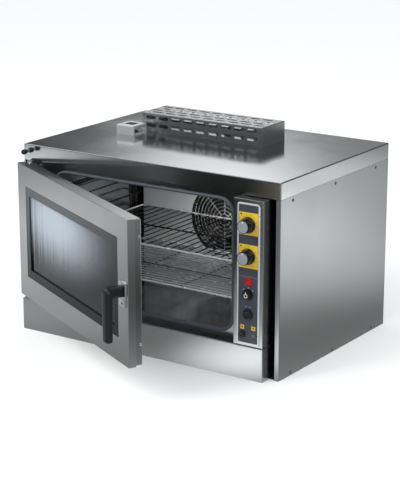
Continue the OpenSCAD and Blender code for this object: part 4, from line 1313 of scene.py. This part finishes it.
@dataclass
class Studio:
    """A pale floor, soft light and the camera."""

    camera_mm: tuple[float, float, float] = (2693.0, -4019.6, 1624.3)
    yaw: float = 0.594344
    pitch: float = 0.279243
    lens_mm: float = 118.93
    floor_m: float = 60.0
    dome: float = 1.06
    mirror_sky: float = 0.10
    mirror_floor: float = 0.36
    boxes: tuple[Softbox, ...] = (
        Softbox(33.5, 17.3, 6.0, 2.1),
        Softbox(20, 12, 13, 0.25),
        Softbox(0, 88, 60, 0.7),
        Softbox(100, 35, 30, 1.5),
        Softbox(-120, 42, 26, 1.6),
        Softbox(180, 50, 25, 0.9))
    flags: tuple[Flag, ...] = (
        Flag(-1.1, -1.95, 1.1, 0.8, -0.33),
        Flag(-1.9, -1.95, 0.45, 0.6, 1.2),
        Flag(-0.3, -1.2, 0.6, 0.5, -0.28),
        Flag(0.28, -0.52, 0.30, 0.30, 1.3),
        Flag(-0.12, -0.5, 0.3, 0.3, -0.14),
        Flag(-0.6, -0.5, 0.35, 0.3, 0.14),
        Flag(-1.8, -0.35, 1.1, 0.6, 0.55),
        Flag(-0.95, -0.3, 0.5, 0.3, 0.2),
        Flag(1.2, 0.75, 0.75, 0.85, 0.85),
        Flag(1.5, 1.2, 0.55, 0.6, 1.5),
        Flag(1.6, 1.9, 0.5, 0.7, 0.8),
        Flag(1.3, -0.7, 1.0, 0.9, -0.36),
        Flag(0.62, 0.2, 0.35, 0.9, -0.16))

    def build(self) -> None:
        """Sets up the floor, the surroundings, the lamps and the camera."""
        bpy.context.scene.view_settings.view_transform = "Standard"
        self.floor()
        self.world()
        self.lamps()
        self.camera()

    def floor(self) -> None:
        """Lays the pale paper floor; mirrors show it grey, with the flags on it."""
        shape = bmesh.new()
        bmesh.ops.create_grid(shape, x_segments=2, y_segments=2, size=self.floor_m / 2)
        mesh = settle("floor", shape)
        sheet = stand("floor", mesh)
        made = bpy.data.materials.new("paper_floor")
        made.use_nodes = True
        tree = made.node_tree
        tree.nodes.clear()
        where = add(tree, "ShaderNodeTexCoord").outputs["Object"]
        total = None
        for flag in self.flags:
            moved = add(tree, "ShaderNodeVectorMath", {
                0: where, 1: (flag.x, flag.y, 0)}, operation="SUBTRACT")
            scaled = add(tree, "ShaderNodeVectorMath", {
                0: moved.outputs[0], 1: (1 / flag.across, 1 / flag.deep, 1)}, operation="MULTIPLY")
            away = add(tree, "ShaderNodeVectorMath", {0: scaled.outputs[0]}, operation="LENGTH")
            soft = add(tree, "ShaderNodeMapRange", {
                "Value": away.outputs["Value"], "From Min": 1.0, "From Max": 0.0, "To Max": flag.change},
                interpolation_type="SMOOTHSTEP")
            total = add(tree, "ShaderNodeMath", {
                0: soft.outputs["Result"], 1: total or self.mirror_floor}, operation="ADD").outputs[0]
        paper = add(tree, "ShaderNodeBsdfDiffuse", {"Color": linear("#f6f6f6"), "Roughness": 0.4})
        card = add(tree, "ShaderNodeEmission", {"Color": linear("#f7f8f9"), "Strength": total})
        ray = add(tree, "ShaderNodeLightPath")
        seen = add(tree, "ShaderNodeMixShader", {
            0: ray.outputs["Is Glossy Ray"], 1: paper.outputs["BSDF"], 2: card.outputs["Emission"]})
        add(tree, "ShaderNodeOutputMaterial", {"Surface": seen.outputs["Shader"]})
        mesh.materials.append(made)

    def world(self) -> None:
        """Lights everything with an even dome; mirrors show dusk with soft round boxes."""
        world = bpy.data.worlds.new("studio")
        bpy.context.scene.world = world
        world.use_nodes = True
        tree = world.node_tree
        tree.nodes.clear()
        look = add(tree, "ShaderNodeTexCoord").outputs["Generated"]
        total = None
        for box in self.boxes:
            near = add(tree, "ShaderNodeVectorMath", {0: look, 1: box.direction}, operation="DOT_PRODUCT")
            glow = add(tree, "ShaderNodeMapRange", {
                "Value": near.outputs["Value"], "From Min": math.cos(math.radians(box.spread)),
                "From Max": 1.0, "To Max": box.strength}, interpolation_type="SMOOTHSTEP")
            total = add(tree, "ShaderNodeMath", {
                0: glow.outputs["Result"], 1: total or self.mirror_sky}, operation="ADD").outputs[0]
        even = add(tree, "ShaderNodeBackground", {"Color": linear("#f8f9fa"), "Strength": self.dome})
        shown = add(tree, "ShaderNodeBackground", {"Color": linear("#f6f8fa"), "Strength": total})
        ray = add(tree, "ShaderNodeLightPath")
        mix = add(tree, "ShaderNodeMixShader", {
            0: ray.outputs["Is Glossy Ray"], 1: even.outputs["Background"], 2: shown.outputs["Background"]})
        add(tree, "ShaderNodeOutputWorld", {"Surface": mix.outputs["Shader"]})

    def lamps(self) -> None:
        """Hangs the large soft lamps and the small one inside the cavity."""
        self.lamp("key", at(-1600, -2600, 2600), at(0, 0, 300), 2.2, 70)
        self.lamp("fill", at(3200, -600, 1800), at(0, 0, 300), 2.0, 30)
        self.lamp("cavity_glow", at(290, -40, 400), at(-120, 118, 265), 0.09, 0.55, cone=56)

    def lamp(self, name: str, place_at: Vector, target: Vector, size: float, watts: float,
             cone: float = 180.0) -> None:
        """Hangs one square lamp.

        Args:
            name: The lamp's name.
            place_at: Where it hangs.
            target: What it faces.
            size: Its side, in metres.
            watts: Its power.
            cone: How wide it shines, in degrees.
        """
        light = bpy.data.lights.new(name, "AREA")
        light.size = size
        light.energy = watts
        light.spread = math.radians(cone)
        holder = stand(name, light)
        holder.location = place_at
        holder.rotation_euler = (target - place_at).to_track_quat("-Z", "Y").to_euler()
        holder.visible_glossy = False

    def camera(self) -> None:
        """Aims the camera."""
        lens = bpy.data.cameras.new("camera")
        lens.lens = self.lens_mm
        lens.sensor_width = 36.0
        lens.clip_end = 100.0
        holder = stand("camera", lens)
        holder.location = at(*self.camera_mm)
        holder.rotation_euler = (math.pi / 2 - self.pitch, 0.0, self.yaw)
        bpy.context.scene.camera = holder


def main() -> None:
    """Builds the oven's pieces, then the studio."""
    logging.basicConfig(level=logging.INFO, format="%(message)s")
    for assembly in (Casing(), ControlColumn(), Door(), Handle(), Cavity(), Outlets(), Services(),
                     Studio()):
        log.info("building %s", type(assembly).__name__)
        assembly.build()


if __name__ == "__main__":
    main()
